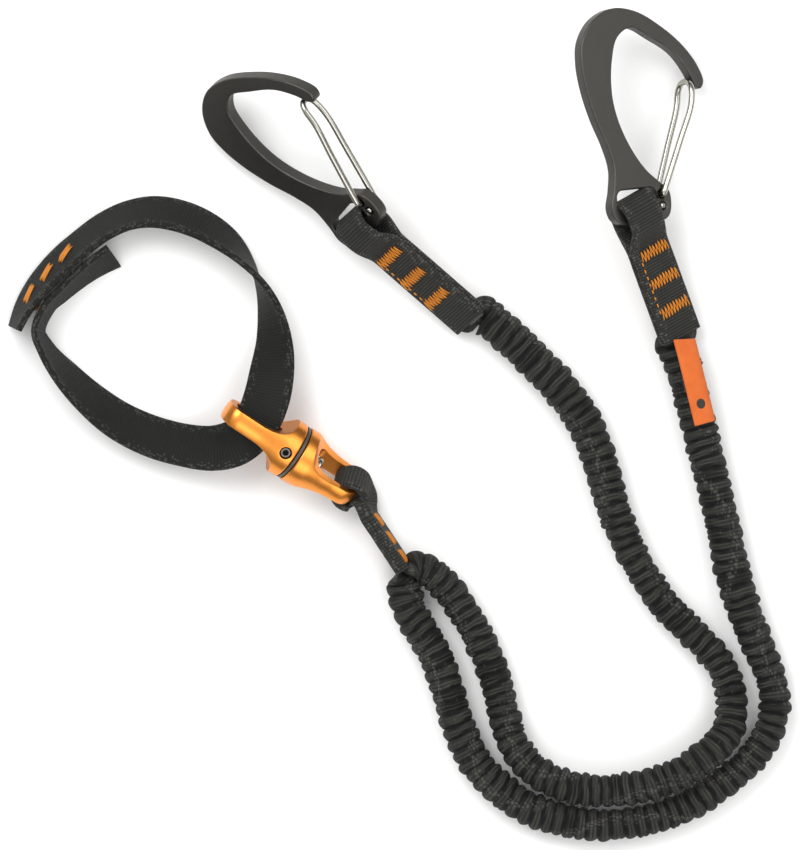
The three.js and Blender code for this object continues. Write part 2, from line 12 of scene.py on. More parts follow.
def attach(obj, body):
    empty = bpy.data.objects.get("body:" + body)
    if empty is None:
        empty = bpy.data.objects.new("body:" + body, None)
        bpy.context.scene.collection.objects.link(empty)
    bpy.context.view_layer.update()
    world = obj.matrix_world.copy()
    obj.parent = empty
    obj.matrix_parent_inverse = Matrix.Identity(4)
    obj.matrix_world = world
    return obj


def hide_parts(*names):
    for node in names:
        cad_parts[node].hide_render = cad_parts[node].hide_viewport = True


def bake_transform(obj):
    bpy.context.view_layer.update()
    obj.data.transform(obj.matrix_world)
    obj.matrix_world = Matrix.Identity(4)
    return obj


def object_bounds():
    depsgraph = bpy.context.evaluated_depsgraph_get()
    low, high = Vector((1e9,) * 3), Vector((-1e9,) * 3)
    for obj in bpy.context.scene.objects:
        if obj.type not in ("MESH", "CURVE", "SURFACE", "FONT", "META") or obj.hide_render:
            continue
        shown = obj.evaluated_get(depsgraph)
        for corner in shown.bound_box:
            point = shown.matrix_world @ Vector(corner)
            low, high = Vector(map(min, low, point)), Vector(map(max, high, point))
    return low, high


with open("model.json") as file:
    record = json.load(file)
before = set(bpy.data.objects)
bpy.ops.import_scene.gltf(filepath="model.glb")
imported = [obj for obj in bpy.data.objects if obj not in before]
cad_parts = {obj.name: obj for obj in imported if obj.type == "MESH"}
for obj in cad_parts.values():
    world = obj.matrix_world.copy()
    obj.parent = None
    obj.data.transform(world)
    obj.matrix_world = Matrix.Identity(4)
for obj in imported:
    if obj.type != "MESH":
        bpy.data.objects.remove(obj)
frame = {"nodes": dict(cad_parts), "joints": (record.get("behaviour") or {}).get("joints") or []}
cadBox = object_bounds()
mm = 0.001
joints = {joint["name"]: joint for joint in frame["joints"]}
benchShift = Vector((0.0131, -0.0401, 0.0008))  # from the routes' own origin to the frame's
webbing = {"width": 15.5 * mm, "ply": 1.9 * mm, "gap": 0.3 * mm, "ribs": 1.0 * mm, "yarn": 0.52 * mm}
layUp = (webbing["ply"] + webbing["gap"]) / 2  # from the middle of two plies to the middle of one


# ---- camera ----
cameraView = {"height": 3.0, "tall": 283.3 * mm, "sensor": 36.0, "level": 8 * mm, "right": 0.6 * mm}


def makeCamera():
    low, high = cadBox
    data = bpy.data.cameras.new("camera")
    data.sensor_width = cameraView["sensor"]
    data.lens = cameraView["sensor"] * (cameraView["height"] - cameraView["level"]) / cameraView["tall"]
    data.clip_start, data.clip_end = 0.1, 20
    camera = bpy.data.objects.new("camera", data)
    middle = (low + high) / 2
    camera.location = (middle.x + cameraView["right"], middle.y, cameraView["height"])
    bpy.context.scene.collection.objects.link(camera)
    bpy.context.scene.camera = camera


makeCamera()
print("camera ready")


# ---- shader expressions ----
class Value:
    # one socket of a material, with arithmetic on it
    def __init__(self, paint, socket):
        self.paint, self.socket = paint, socket

    def maths(self, operation, *numbers):
        return self.paint.add("ShaderNodeMath", {"operation": operation}, dict(enumerate(numbers)))

    def __add__(self, other): return self.maths("ADD", self, other)
    def __radd__(self, other): return self.maths("ADD", other, self)
    def __sub__(self, other): return self.maths("SUBTRACT", self, other)
    def __rsub__(self, other): return self.maths("SUBTRACT", other, self)
    def __mul__(self, other): return self.maths("MULTIPLY", self, other)
    def __rmul__(self, other): return self.maths("MULTIPLY", other, self)
    def __truediv__(self, other): return self.maths("DIVIDE", self, other)
    def __pow__(self, other): return self.maths("POWER", self, other)
    def __abs__(self): return self.maths("ABSOLUTE", self)
    def __gt__(self, other): return self.maths("GREATER_THAN", self, other)
    def sine(self): return self.maths("SINE", self)
    def floor(self): return self.maths("FLOOR", self)
    def odd(self): return self.maths("FLOORED_MODULO", self, 2.0)


class Paint:
    # one material: its principled shader, and the method that adds every other node
    def __init__(self, name, **constants):
        self.material = bpy.data.materials.new(name)
        self.material.use_nodes = True
        self.tree = self.material.node_tree
        self.shader = self.tree.nodes["Principled BSDF"]
        for socket, value in constants.items():
            self.shader.inputs[socket.replace("_", " ")].default_value = value

    def add(self, kind, settings=None, inputs=None, output=0):
        node = self.tree.nodes.new(kind)
        for setting, value in (settings or {}).items():
            if setting == "stops":
                self.setStops(node.color_ramp, value)
            else:
                setattr(node, setting, value)
        for socket, value in (inputs or {}).items():
            self.feed(node.inputs[socket], value)
        return Value(self, node.outputs[output])

    def setStops(self, ramp, stops):
        while len(ramp.elements) < len(stops):
            ramp.elements.new(0.5)
        for element, (place, colour) in zip(ramp.elements, stops):
            element.position, element.color = place, (*colour, 1.0)

    def feed(self, socket, value):
        if isinstance(value, Value):
            self.tree.links.new(value.socket, socket)
        else:
            socket.default_value = value

    def give(self, **channels):
        for socket, value in channels.items():
            self.feed(self.shader.inputs[socket.replace("_", " ")], value)

    def place(self):
        return self.add("ShaderNodeTexCoord", output="Object")

    def noise(self, scale, detail=2.0, where=None, roughness=0.5):
        inputs = {"Vector": where or self.place(), "Scale": scale, "Detail": detail, "Roughness": roughness}
        return self.add("ShaderNodeTexNoise", {}, inputs)

    def ramp(self, factor, *stops):
        return self.add("ShaderNodeValToRGB", {"stops": stops}, {"Fac": factor})

    def range(self, value, low, high, toLow=0.0, toHigh=1.0):
        inputs = {"Value": value, "From Min": low, "From Max": high, "To Min": toLow, "To Max": toHigh}
        return self.add("ShaderNodeMapRange", {"clamp": True}, inputs)

    def mix(self, factor, first, second, blend="MIX"):
        settings = {"data_type": "RGBA", "blend_type": blend}
        return self.add("ShaderNodeMix", settings, {"Factor": factor, 6: first, 7: second}, output=2)

    def attribute(self, name):
        return self.add("ShaderNodeAttribute", {"attribute_name": name}, output="Fac")

    def bump(self, height, distance, strength=1.0):
        return self.add("ShaderNodeBump", {}, {"Height": height, "Distance": distance, "Strength": strength})


# ---- finishes ----
def wovenCloth(name, dark, light, dust, bumpy, ribs=0.5, speckle=0.72, stray=0.985):
    # tubular webbing: ribs across it, each rib a row of yarns set half a yarn aside from the last
    paint = Paint(name, Specular_IOR_Level=0.3, Sheen_Weight=0.03, Sheen_Roughness=0.4)
    cloth = paint.add("ShaderNodeUVMap", {"uv_map": "cloth"})
    parts = paint.add("ShaderNodeSeparateXYZ", {}, {"Vector": cloth}).socket.node.outputs
    across, along = Value(paint, parts["X"]), Value(paint, parts["Y"])
    wander = paint.noise(900.0, 2.0) - 0.5
    row = (along + wander * (0.25 * mm)) / webbing["ribs"]
    column = across / webbing["yarn"] + row.floor().odd() * 0.5
    rib = abs((row * math.pi).sine()) ** 0.6
    yarn = abs((column * math.pi).sine()) ** 0.7
    cell = paint.add("ShaderNodeCombineXYZ", {}, {"X": column.floor(), "Y": row.floor(), "Z": 0.0})
    chance = paint.add("ShaderNodeTexWhiteNoise", {"noise_dimensions": "3D"}, {"Vector": cell})
    height = rib * (yarn * 0.45 + 0.55)
    fibres = paint.noise(7000.0, 3.0)
    selvage = paint.attribute("selvage")
    edgeYarns = (chance > speckle) * selvage
    strayYarns = chance > stray
    crest = paint.attribute("crest")
    # the sleeve's painted ring shading lightens the ring crests (painted highlight) and darkens valleys and creases
    # (painted shade)
    tone = height * ribs + fibres * 0.35 + paint.noise(160.0, 2.0) * 0.25 + crest * 0.5 - 0.2
    body = paint.ramp(tone, (0.12, dark), (0.95, light))
    speckled = paint.mix(edgeYarns * height * 0.85, body, (*dust, 1.0))
    colour = paint.mix(strayYarns * height * 0.3, speckled, (*dust, 1.0))
    fur = height + fibres * 0.35 + chance * selvage * 0.5
    paint.give(Base_Color=colour, Roughness=paint.range(fibres, 0.3, 0.7, 0.62, 0.85))
    paint.give(Normal=paint.bump(fur, bumpy))
    return paint.material


def twistedThread(name, deep, bright):
    # polyester thread: three plies that show as slanting lines, glossier than the webbing
    paint = Paint(name, Specular_IOR_Level=0.4, Sheen_Weight=0.03)
    cloth = paint.add("ShaderNodeUVMap", {"uv_map": "cloth"})
    parts = paint.add("ShaderNodeSeparateXYZ", {}, {"Vector": cloth}).socket.node.outputs
    around, along = Value(paint, parts["X"]), Value(paint, parts["Y"])
    plies = abs(((around + along / (0.9 * mm)) * (3 * math.pi)).sine())
    fibres = paint.noise(9000.0, 2.0)
    tone = plies * 0.5 + fibres * 0.35 + paint.noise(500.0) * 0.35
    paint.give(Base_Color=paint.ramp(tone, (0.25, deep), (0.95, bright)))
    paint.give(Roughness=paint.range(fibres, 0.3, 0.7, 0.38, 0.6))
    paint.give(Normal=paint.bump(plies + fibres * 0.4, 0.08 * mm))
    return paint.material


def anodised(name, colour, wearAndHighlightColour, roughness, grain):
    # anodised aluminium: a fine even grain, faint tumbling marks, and paler metal in patches along the rounded edges,
    # partly wear and partly a painted highlight on the bevel
    paint = Paint(name, Metallic=1.0, Specular_IOR_Level=0.5)
    marks = paint.noise(420.0, 5.0, roughness=0.7)
    cloud = paint.noise(60.0, 2.0)
    fine = paint.noise(5200.0, 2.0)
    # paler patches on the edge band: partly wear, partly a painted highlight on the bevel
    edgeWearAndHighlight = paint.attribute("edge") * paint.range(marks, 0.52, 0.7)
    base = paint.mix(cloud, (*[c * 0.94 for c in colour], 1.0), (*[min(1, c * 1.05) for c in colour], 1.0))
    paint.give(Base_Color=paint.mix(edgeWearAndHighlight * 0.22, base, (*wearAndHighlightColour, 1.0)))
    paint.give(Roughness=paint.range(marks * 0.7 + fine * 0.3, 0.3, 0.7, roughness - 0.05, roughness + 0.07))
    paint.give(Normal=paint.bump(fine + marks * 0.5, grain))
    return paint.material


def polishedSteel(name):
    paint = Paint(name, Metallic=1.0)
    drawn = paint.add("ShaderNodeMapping", {}, {"Vector": paint.place(), "Scale": (1.0, 1.0, 0.25)})
    streaks = paint.noise(2600.0, 3.0, where=drawn)
    paint.give(Base_Color=paint.ramp(streaks, (0.3, (0.3, 0.29, 0.26)), (0.7, (0.46, 0.45, 0.4))))
    paint.give(Roughness=paint.range(streaks, 0.3, 0.7, 0.1, 0.2))
    paint.give(Normal=paint.bump(streaks, 0.004 * mm))
    return paint.material


def plainPolymer(name, colour, roughness):
    paint = Paint(name)
    grain = paint.noise(3500.0, 3.0)
    smudge = paint.noise(180.0, 2.0)
    paint.give(Base_Color=paint.mix(smudge, (*colour, 1.0), (*[c * 1.5 for c in colour], 1.0)))
    paint.give(Roughness=paint.range(grain, 0.3, 0.7, roughness - 0.08, roughness + 0.08))
    paint.give(Normal=paint.bump(grain, 0.015 * mm))
    return paint.material


def turnedBronze(name):
    paint = Paint(name, Metallic=1.0)
    rings = abs((paint.add("ShaderNodeSeparateXYZ", {}, {"Vector": paint.place()}) * 9000.0).sine())
    paint.give(Base_Color=paint.ramp(rings, (0.0, (0.42, 0.25, 0.1)), (1.0, (0.6, 0.38, 0.17))))
    paint.give(Roughness=paint.range(rings, 0.0, 1.0, 0.3, 0.42), Normal=paint.bump(rings, 0.01 * mm))
    return paint.material


def wovenLabel(name, label):
    # satin ribbon with a fine weave and one plain round printed dot
    paint = Paint(name, Specular_IOR_Level=0.3, Sheen_Weight=0.1)
    cloth = paint.add("ShaderNodeUVMap", {"uv_map": "cloth"})
    parts = paint.add("ShaderNodeSeparateXYZ", {}, {"Vector": cloth}).socket.node.outputs
    across, along = Value(paint, parts["X"]), Value(paint, parts["Y"])
    weft = abs((along * (math.pi / label["weft"])).sine())
    warp = abs((across * (math.pi / label["weft"])).sine())
    side, down = across - label["dotAcross"], along - label["dotAlong"]
    reach = (side * side + down * down) ** 0.5
    soft = paint.noise(240.0, 2.0)
    cloth = paint.ramp(weft * 0.3 + warp * 0.2 + soft * 0.6, (0.2, label["deep"]), (0.9, label["bright"]))
    dot = paint.range(reach + paint.noise(6000.0) * (0.12 * mm), label["dot"], label["dot"] + 0.1 * mm, 1.0, 0.0)
    paint.give(Base_Color=paint.mix(dot, cloth, (*label["ink"], 1.0)))
    paint.give(Roughness=paint.range(weft, 0.0, 1.0, 0.5, 0.66))
    paint.give(Normal=paint.bump(weft * warp, 0.04 * mm))
    return paint.material


greyAnodised = anodised("grey_anodised", (0.078, 0.075, 0.068), (0.3, 0.3, 0.28), 0.44, 0.004 * mm)
orangeAnodised = anodised("orange_anodised", (0.8, 0.29, 0.052), (0.96, 0.72, 0.4), 0.32, 0.0008 * mm)
steel = polishedSteel("polished_steel")
strapCloth = wovenCloth("black_webbing", (0.0016, 0.0016, 0.0014), (0.034, 0.034, 0.028), (0.085, 0.083, 0.075), 0.26 * mm, ribs=0.75)
loopCloth = wovenCloth("black_loop_webbing", (0.0032, 0.0035, 0.0026), (0.0125, 0.0132, 0.0105), (0.05, 0.05, 0.044), 0.1 * mm, ribs=0.3, stray=1.0)
sleeveCloth = wovenCloth("ribbed_sleeve", (0.0009, 0.0009, 0.0007), (0.042, 0.042, 0.034), (0.08, 0.078, 0.068), 0.2 * mm, ribs=0.5, speckle=0.6)
orangeThread = twistedThread("orange_thread", (0.36, 0.085, 0.002), (0.84, 0.3, 0.016))
frayedYarn = twistedThread("frayed_yarn", (0.03, 0.03, 0.028), (0.2, 0.2, 0.19))
darkSteel = anodised("dark_steel", (0.13, 0.12, 0.11), (0.3, 0.3, 0.28), 0.34, 0.002 * mm)
# near-black for the faces inside the screw's hex socket: painted shade in the recess
socketShade = plainPolymer("socket_painted_shade", (0.004, 0.004, 0.004), 0.7)
blackPolymer = plainPolymer("black_polymer", (0.05, 0.038, 0.028), 0.45)
latexStrands = plainPolymer("natural_latex", (0.45, 0.36, 0.22), 0.6)
bronze = turnedBronze("bronze")
print("finishes ready")


# ---- lines, frames and meshes ----
def smoothLine(points, step):
    # a centripetal Catmull-Rom curve through the points, then even steps along it
    given = np.array([list(p) for p in points], float)
    spread = np.vstack([2 * given[0] - given[1], given, 2 * given[-1] - given[-2]])
    dense = []
    for i in range(1, len(spread) - 2):
        four = spread[i - 1:i + 3]
        knots = np.concatenate([[0], np.cumsum(np.linalg.norm(np.diff(four[:, :3], axis=0), axis=1) ** 0.5)])
        t = np.linspace(knots[1], knots[2], 24, endpoint=False)[:, None]
        pairs = list(four)
        for gap in (1, 2):
            pairs = [
                ((knots[j + gap] - t) * pairs[j] + (t - knots[j]) * pairs[j + 1]) / (knots[j + gap] - knots[j])
                for j in range(len(pairs) - 1)
            ]
        dense.append(((knots[2] - t) * pairs[0] + (t - knots[1]) * pairs[1]) / (knots[2] - knots[1]))
    return evenSteps(np.vstack([*dense, given[-1:]]), step)


def evenSteps(line, step):
    run = np.concatenate([[0], np.cumsum(np.linalg.norm(np.diff(line[:, :3], axis=0), axis=1))])
    even = np.linspace(0, run[-1], max(2, round(run[-1] / step)) + 1)
    return np.stack([np.interp(even, run, line[:, k]) for k in range(line.shape[1])], axis=1)


def smoothSteps(values, low, high):
    t = np.clip((values - low) / (high - low), 0, 1)
    return t * t * (3 - 2 * t)


def unit(vectors):
    return vectors / np.maximum(np.linalg.norm(vectors, axis=-1, keepdims=True), 1e-12)


def runOf(line):
    return np.concatenate([[0], np.cumsum(np.linalg.norm(np.diff(line[:, :3], axis=0), axis=1))])


def meshPiece(name, vertices, faces, material):
    mesh = bpy.data.meshes.new(name)
    mesh.from_pydata([tuple(v) for v in vertices], [], faces)
    return finishPiece(name, mesh, material)


def finishPiece(name, mesh, material):
    mesh.materials.clear()
    mesh.materials.append(material)
    mesh.polygons.foreach_set("use_smooth", [True] * len(mesh.polygons))
    mesh.update()
    piece = bpy.data.objects.new(name, mesh)
    bpy.context.scene.collection.objects.link(piece)
    return piece


def loft(name, rings, around, along, material, selvage=None, crest=None):
    # skins rings of points, closes both ends, and writes the cloth's own coordinates
    count, sides = rings.shape[:2]
    vertices = rings.reshape(-1, 3)
    index = np.arange(count * sides).reshape(count, sides)
    nextOne = np.roll(index, -1, axis=1)
    quads = np.stack([index[:-1], nextOne[:-1], nextOne[1:], index[1:]], axis=-1).reshape(-1, 4)
    axis = rings.mean(axis=1)
    outward = np.cross(rings[0, 1] - rings[0, 0], rings[1, 0] - rings[0, 0]) @ (rings[0, 0] - axis[0])
    if outward < 0:
        quads = quads[:, ::-1]
    firstCap, lastCap = index[0].tolist(), index[-1].tolist()
    caps = [firstCap[::-1], lastCap] if outward > 0 else [firstCap, lastCap[::-1]]
    piece = meshPiece(name, vertices, quads.tolist() + caps, material)
    u = np.concatenate([around, [2 * around[-1] - around[-2]]])
    ring, column = np.divmod(quads, sides)
    wraps = (column.max(axis=1) - column.min(axis=1)) > 1
    column = np.where(wraps[:, None] & (column == 0), sides, column)
    capLoops = [(u[i % sides], along[i // sides]) for cap in caps for i in cap]
    loops = np.vstack([np.stack([u[column], along[ring]], axis=-1).reshape(-1, 2), capLoops])
    layer = piece.data.uv_layers.new(name="cloth")
    layer.uv.foreach_set("vector", loops.astype(np.float32).ravel())
    for label, values in (("selvage", selvage), ("crest", crest)):
        if values is not None:
            marked = piece.data.attributes.new(label, "FLOAT", "POINT")
            marked.data.foreach_set("value", np.asarray(values, np.float32).ravel())
    return piece


def threadTube(name, lines, radius, material, sides=8, ends=0.4):
    # many lengths of thread in one piece, each a thin tube with rounded ends
    vertices, faces, loops = [], [], []
    angles = np.linspace(0, 2 * math.pi, sides, endpoint=False)
    for line in lines:
        line = np.array([list(p) for p in line], float)
        run = runOf(line)
        way = unit(np.gradient(line, axis=0))
        guide = np.array([0.31, 0.52, 0.79]) if abs(way[0] @ [0.31, 0.52, 0.79]) < 0.9 else np.array([1.0, 0, 0])
        side = unit(np.cross(way, guide))
        up = np.cross(side, way)
        taper = np.minimum(1, np.minimum(run, run[-1] - run) / radius * 0.8 + ends) * radius
        ring = line[:, None] + taper[:, None, None] * (
            np.cos(angles)[None, :, None] * side[:, None] + np.sin(angles)[None, :, None] * up[:, None])
        start = len(vertices)
        vertices.extend(ring.reshape(-1, 3).tolist())
        for i in range(len(line) - 1):
            for j in range(sides):
                k = (j + 1) % sides
                a, b = start + i * sides, start + (i + 1) * sides
                faces.append((a + j, a + k, b + k, b + j))
                loops.extend([(j / sides, run[i]), ((j + 1) / sides, run[i]),
                              ((j + 1) / sides, run[i + 1]), (j / sides, run[i + 1])])
        last = start + (len(line) - 1) * sides
        faces.append(tuple(start + j for j in reversed(range(sides))))
        faces.append(tuple(last + j for j in range(sides)))
        loops.extend([(0.0, 0.0)] * (2 * sides))
    piece = meshPiece(name, vertices, faces, material)
    layer = piece.data.uv_layers.new(name="cloth")
    layer.uv.foreach_set("vector", np.array(loops, np.float32).ravel())
    return piece


def cloudy(rng, count, wave, size):
    # a smooth random line: a few random sines of about the given wave length, in steps
    x = np.arange(count)
    waves = [(rng.uniform(0.6, 1.6) / wave, rng.uniform(0, 2 * math.pi)) for _ in range(4)]
    return size * sum(np.sin(2 * math.pi * x * f + p) for f, p in waves) / 2


# ---- tab frames, taken from the three bar tacks of each tab ----
tab = {
    "lengths": {"left": 47.5 * mm, "right": 44 * mm}, "firstTack": 12.5 * mm, "loopInside": 4.0 * mm,
    "foldRise": 1.6 * mm, "gather": {"left": 0.14, "right": 0.14},
}


def principalFrame(node, upward, headward):
    # the middle of a bar tack and its own axes: across the strap, along it, and off its face
    corners = np.array([v.co for v in frame["nodes"][node].data.vertices], float)
    middle = corners.mean(axis=0)
    axes = np.linalg.svd(corners - middle, full_matrices=False)[2]
    up = axes[1] * (1 if axes[1] @ np.array(upward) > 0 else -1)
    along = axes[2] * (1 if axes[2] @ np.array(headward) > 0 else -1)
    return middle, np.cross(along, up), along, up


def tackFrames(strap, upward, headward):
    return [principalFrame(f"{strap}_bartack_{n}", upward, headward) for n in (1, 2, 3)]


def tabFrame(side):
    tacks = tackFrames(f"{side}_tab", (0, 0, 1), (0, 1, 0))
    toNose = unit(tacks[0][0] - tacks[2][0])
    up = unit(tacks[0][3] - (tacks[0][3] @ toNose) * toNose)
    origin = tacks[0][0] + toNose * tab["firstTack"]
    return origin, np.cross(toNose, up), toNose, up


# ---- elastic arms: webbing gathered into rings over a stretched core ----
leftArm = {
    "side": "left", "seed": 11,
    "route": [
        (0.0271, 0.0363, 0.0064), (0.0333, 0.0320, 0.0063), (0.0413, 0.0247, 0.0062), (0.0477, 0.0183, 0.0062),
        (0.0537, 0.0117, 0.0062), (0.0610, 0.0015, 0.0062), (0.0648, -0.0070, 0.0062), (0.0673, -0.0150, 0.0062),
        (0.0698, -0.0240, 0.0062), (0.0733, -0.0340, 0.0061), (0.0770, -0.0425, 0.0060), (0.0815, -0.0505, 0.0060),
        (0.0865, -0.0580, 0.0059), (0.0928, -0.0650, 0.0059), (0.0990, -0.0710, 0.0059), (0.1050, -0.0775, 0.0060),
        (0.1093, -0.0855, 0.0063), (0.1108, -0.0935, 0.0070), (0.1095, -0.1010, 0.0086), (0.1053, -0.1073, 0.0106),
        (0.0986, -0.1130, 0.0118), (0.0905, -0.1175, 0.0116), (0.0810, -0.1206, 0.0106), (0.0705, -0.1220, 0.0096),
        (0.0595, -0.1214, 0.0094), (0.0500, -0.1184, 0.0092), (0.0427, -0.1133, 0.0082), (0.0378, -0.1065, 0.0070),
        (0.0350, -0.0985, 0.0062), (0.0330, -0.0895, 0.0059), (0.0300, -0.0795, 0.0059), (0.0258, -0.0703, 0.0059),
        (0.0208, -0.0618, 0.0061), (0.0158, -0.0546, 0.0064), (0.0110, -0.0500, 0.0066), (0.0060, -0.0476, 0.0072),
    ],
    "girth": [(0, 6.1), (30, 6.0), (70, 5.7), (100, 5.1), (125, 4.8), (165, 4.8), (190, 5.2), (235, 5.1), (300, 5.1)],
    "stretches": ("left_tab", -0.040, 0.032),
}
rightArm = {
    "side": "right", "seed": 23,
    "route": [
        (0.0919, 0.0272, 0.0064), (0.0936, 0.0215, 0.0063), (0.0962, 0.0123, 0.0062), (0.0990, 0.0017, 0.0062),
        (0.1016, -0.0083, 0.0062), (0.1046, -0.0204, 0.0062), (0.1074, -0.0328, 0.0061), (0.1100, -0.0450, 0.0060),
        (0.1130, -0.0565, 0.0059), (0.1165, -0.0670, 0.0058), (0.1204, -0.0765, 0.0057), (0.1238, -0.0850, 0.0056),
        (0.1250, -0.0935, 0.0056), (0.1233, -0.1017, 0.0056), (0.1193, -0.1088, 0.0056), (0.1132, -0.1153, 0.0056),
        (0.1054, -0.1215, 0.0056), (0.0962, -0.1270, 0.0056), (0.0862, -0.1310, 0.0056), (0.0755, -0.1332, 0.0056),
        (0.0645, -0.1336, 0.0056), (0.0540, -0.1319, 0.0056), (0.0436, -0.1284, 0.0057), (0.0343, -0.1224, 0.0058),
        (0.0266, -0.1146, 0.0058), (0.0216, -0.1057, 0.0058), (0.0181, -0.0964, 0.0058), (0.0155, -0.0875, 0.0058),
        (0.0123, -0.0784, 0.0059), (0.0078, -0.0702, 0.0060), (0.0040, -0.0636, 0.0062), (0.0018, -0.0570, 0.0064),
        (0.0012, -0.0525, 0.0070),
    ],
    "girth": [(0, 6.0), (30, 5.6), (55, 5.5), (85, 5.8), (105, 5.3), (125, 4.8), (200, 4.9), (235, 5.3), (300, 5.4)],
    "stretches": ("right_tab", -0.048, 0.029),
}
rings = {"pitch": (3.3, 4.5), "fold": (1.0, 1.5), "lean": 0.6, "tilt": 1.1, "flatEnd": 8 * mm, "flatTail": 9 * mm, "sides": 64, "step": 0.25 * mm}


def ringedRadius(arm, run, angles):
    # how far the gathered cloth stands off its valley, and, from how far along a ring each place is, painted shading: a
    # painted highlight along each ring's crest and painted shade in the valleys between rings and in creases
    rng = np.random.default_rng(arm["seed"])
    total = run[-1] / mm
    pitches = rng.uniform(*rings["pitch"], int(total / rings["pitch"][0]) + 4)
    edges = np.cumsum(pitches) - 4.0
    tiltSize = 0.35 + cloudy(rng, len(run), 160, 0.5)
    tiltTurn = cloudy(rng, len(run), 420, 2.2)
    ripple = sum(
        0.16 * np.sin(h * angles[None, :] + cloudy(rng, len(run), 90, 2.4)[:, None]) for h in (2, 3, 5))
    shifted = run[:, None] / mm + rings["tilt"] * tiltSize[:, None] * np.cos(angles[None, :] - tiltTurn[:, None]) + ripple
    ring = np.clip(np.searchsorted(edges, shifted) - 1, 0, len(edges) - 2)
    part = np.clip((shifted - edges[ring]) / (edges[ring + 1] - edges[ring]), 0, 1)
    skewed = np.where(part < rings["lean"], part / rings["lean"] / 2, 0.5 + (part - rings["lean"]) / (1 - rings["lean"]) / 2)
    dome = np.sin(math.pi * skewed) ** 0.55
    fold = rng.uniform(*rings["fold"], len(edges))
    waves = sum(
        rng.uniform(0.05, 0.16, len(edges))[ring] * np.sin(h * angles[None, :] + rng.uniform(0, 6.28, len(edges))[ring])
        for h in (1, 2, 3))
    height = fold[ring] * (1 + waves) * dome
    creased = rng.uniform(0, 1, len(edges)) < 0.34
    centre = rng.uniform(0, 2 * math.pi, len(edges))
    sector = np.clip(np.cos(angles[None, :] - centre[ring]) * 1.6 - 0.3, 0, 1) * creased[ring]
    height -= 0.5 * sector * np.exp(-((part - 0.5) / 0.13) ** 2)
    strength = rng.uniform(0.3, 1.0, len(edges))[ring]
    # painted highlight along each ring's crest; painted shade in the valley between rings and in creased sectors
    crest = 1.2 * strength * (np.exp(-((part - 0.34) / 0.07) ** 2) + 0.6 * np.exp(-((part - 0.66) / 0.06) ** 2))
    crest -= 1.5 * (1 - dome) + 0.6 * sector
    return height * mm, crest


def swivelTabEnd(side):
    # where one ply of the swivel tab leaves its last bar tack: its place, its way out and its width
    tacks = tackFrames("swivel_tab", (1, 0, 0), (0, 1, 0))
    away = unit(tacks[2][0] - tacks[0][0])
    across = tacks[0][1] * (1 if tacks[0][1][2] < 0 else -1)
    up = np.cross(across, -away)
    up = up * np.sign(up[0])
    return tacks[2][0] + up * layUp * {"left": 1, "right": -1}[side], away, across


def armLine(arm, step):
    # out of the carabiner tab's lower ply, along the route, and into one ply of the swivel tab
    origin, _, toNose, up = tabFrame(arm["side"])
    end = origin - toNose * tab["lengths"][arm["side"]] - up * layUp
    inside = [end + toNose * 3.0 * mm, end]
    ply, away, _ = swivelTabEnd(arm["side"])
    out = [ply + away * 3.8 * mm, ply + away * 1.6 * mm]
    return smoothLine(inside + [np.array(Vector(p) + benchShift) for p in arm["route"]] + out, step)


def makeSleeve(arm):
    line = armLine(arm, rings["step"])
    run = runOf(line)
    angles = np.linspace(0, 2 * math.pi, rings["sides"], endpoint=False)
    way = unit(np.gradient(line, axis=0))
    # at either end the tube lies flat, as one ply of a tab; between them it is round
    opened = smoothSteps(run, 2.5 * mm, 2.5 * mm + rings["flatEnd"])[:, None]
    closed = smoothSteps(run, run[-1] - rings["flatTail"], run[-1] - 1.0 * mm)[:, None]
    tabAcross, tailAcross = tabFrame(arm["side"])[1], swivelTabEnd(arm["side"])[2]
    level = unit(np.cross(way, [0, 0, 1.0]))
    level = level * np.sign(level[:1] @ tabAcross)
    tailAcross = tailAcross * np.sign(level[-1] @ tailAcross)
    side = tabAcross * (1 - opened) + level * (opened - closed) + tailAcross * closed
    side = unit(side - (side * way).sum(axis=1, keepdims=True) * way)
    up = np.cross(side, way)
    up = up * np.sign(up[len(up) // 2, 2])
    places, radii = np.array(arm["girth"], float).T
    valley = np.interp(run, places * mm, radii * mm) - 0.75 * mm
    stand, crest = ringedRadius(arm, run, angles)
    full = opened * (1 - closed)
    gathered = valley[:, None] + stand
    flatWide = np.where(run < run[-1] / 2, webbing["width"] / 2, webbing["width"] * 0.4)[:, None]
    wide = flatWide * (1 - full) + gathered * full
    rippled = smoothSteps(run, 3 * mm, 6 * mm) * (1 - smoothSteps(run, run[-1] - 5 * mm, run[-1] - 1 * mm))
    high = (webbing["ply"] * 0.56 + 0.4 * stand * rippled[:, None]) * (1 - full) + gathered * full
    cosines, sines = np.cos(angles)[None, :], np.sin(angles)[None, :]
    sag = np.where(sines < 0, 0.97, 1.0)
    offset = (wide * cosines)[..., None] * side[:, None] + (high * sines * sag)[..., None] * up[:, None]
    drift = cloudy(np.random.default_rng(arm["seed"] + 5), len(run), 500, 1.1)[:, None]
    selvage = np.exp(-((np.sin((angles[None, :] - drift)) - 0.15) / 0.3) ** 2)
    clothRun = run * 0.8
    around = angles * 5.6 * mm
    # the painted ring shading is stored on each point, weaker on the selvage
    piece = loft(f"{arm['side']}_arm_sleeve", line[:, None] + offset, around, clothRun, sleeveCloth, selvage,
                 crest * (1 - 0.7 * selvage))
    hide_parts(f"{arm['side']}_sleeve")
    stretchWithTab(piece, arm)
    print(f"{arm['side']} arm: {run[-1]:.3f} m")


def stretchWithTab(piece, arm):
    # bakes the piece's placement into its mesh; the arm's two heights are looked up but not used, so the arm neither
    # lengthens nor follows the swivel's side or the tab
    tabBody, foot, head = arm["stretches"]
    foot + benchShift.y
    head + benchShift.y
    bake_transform(piece)


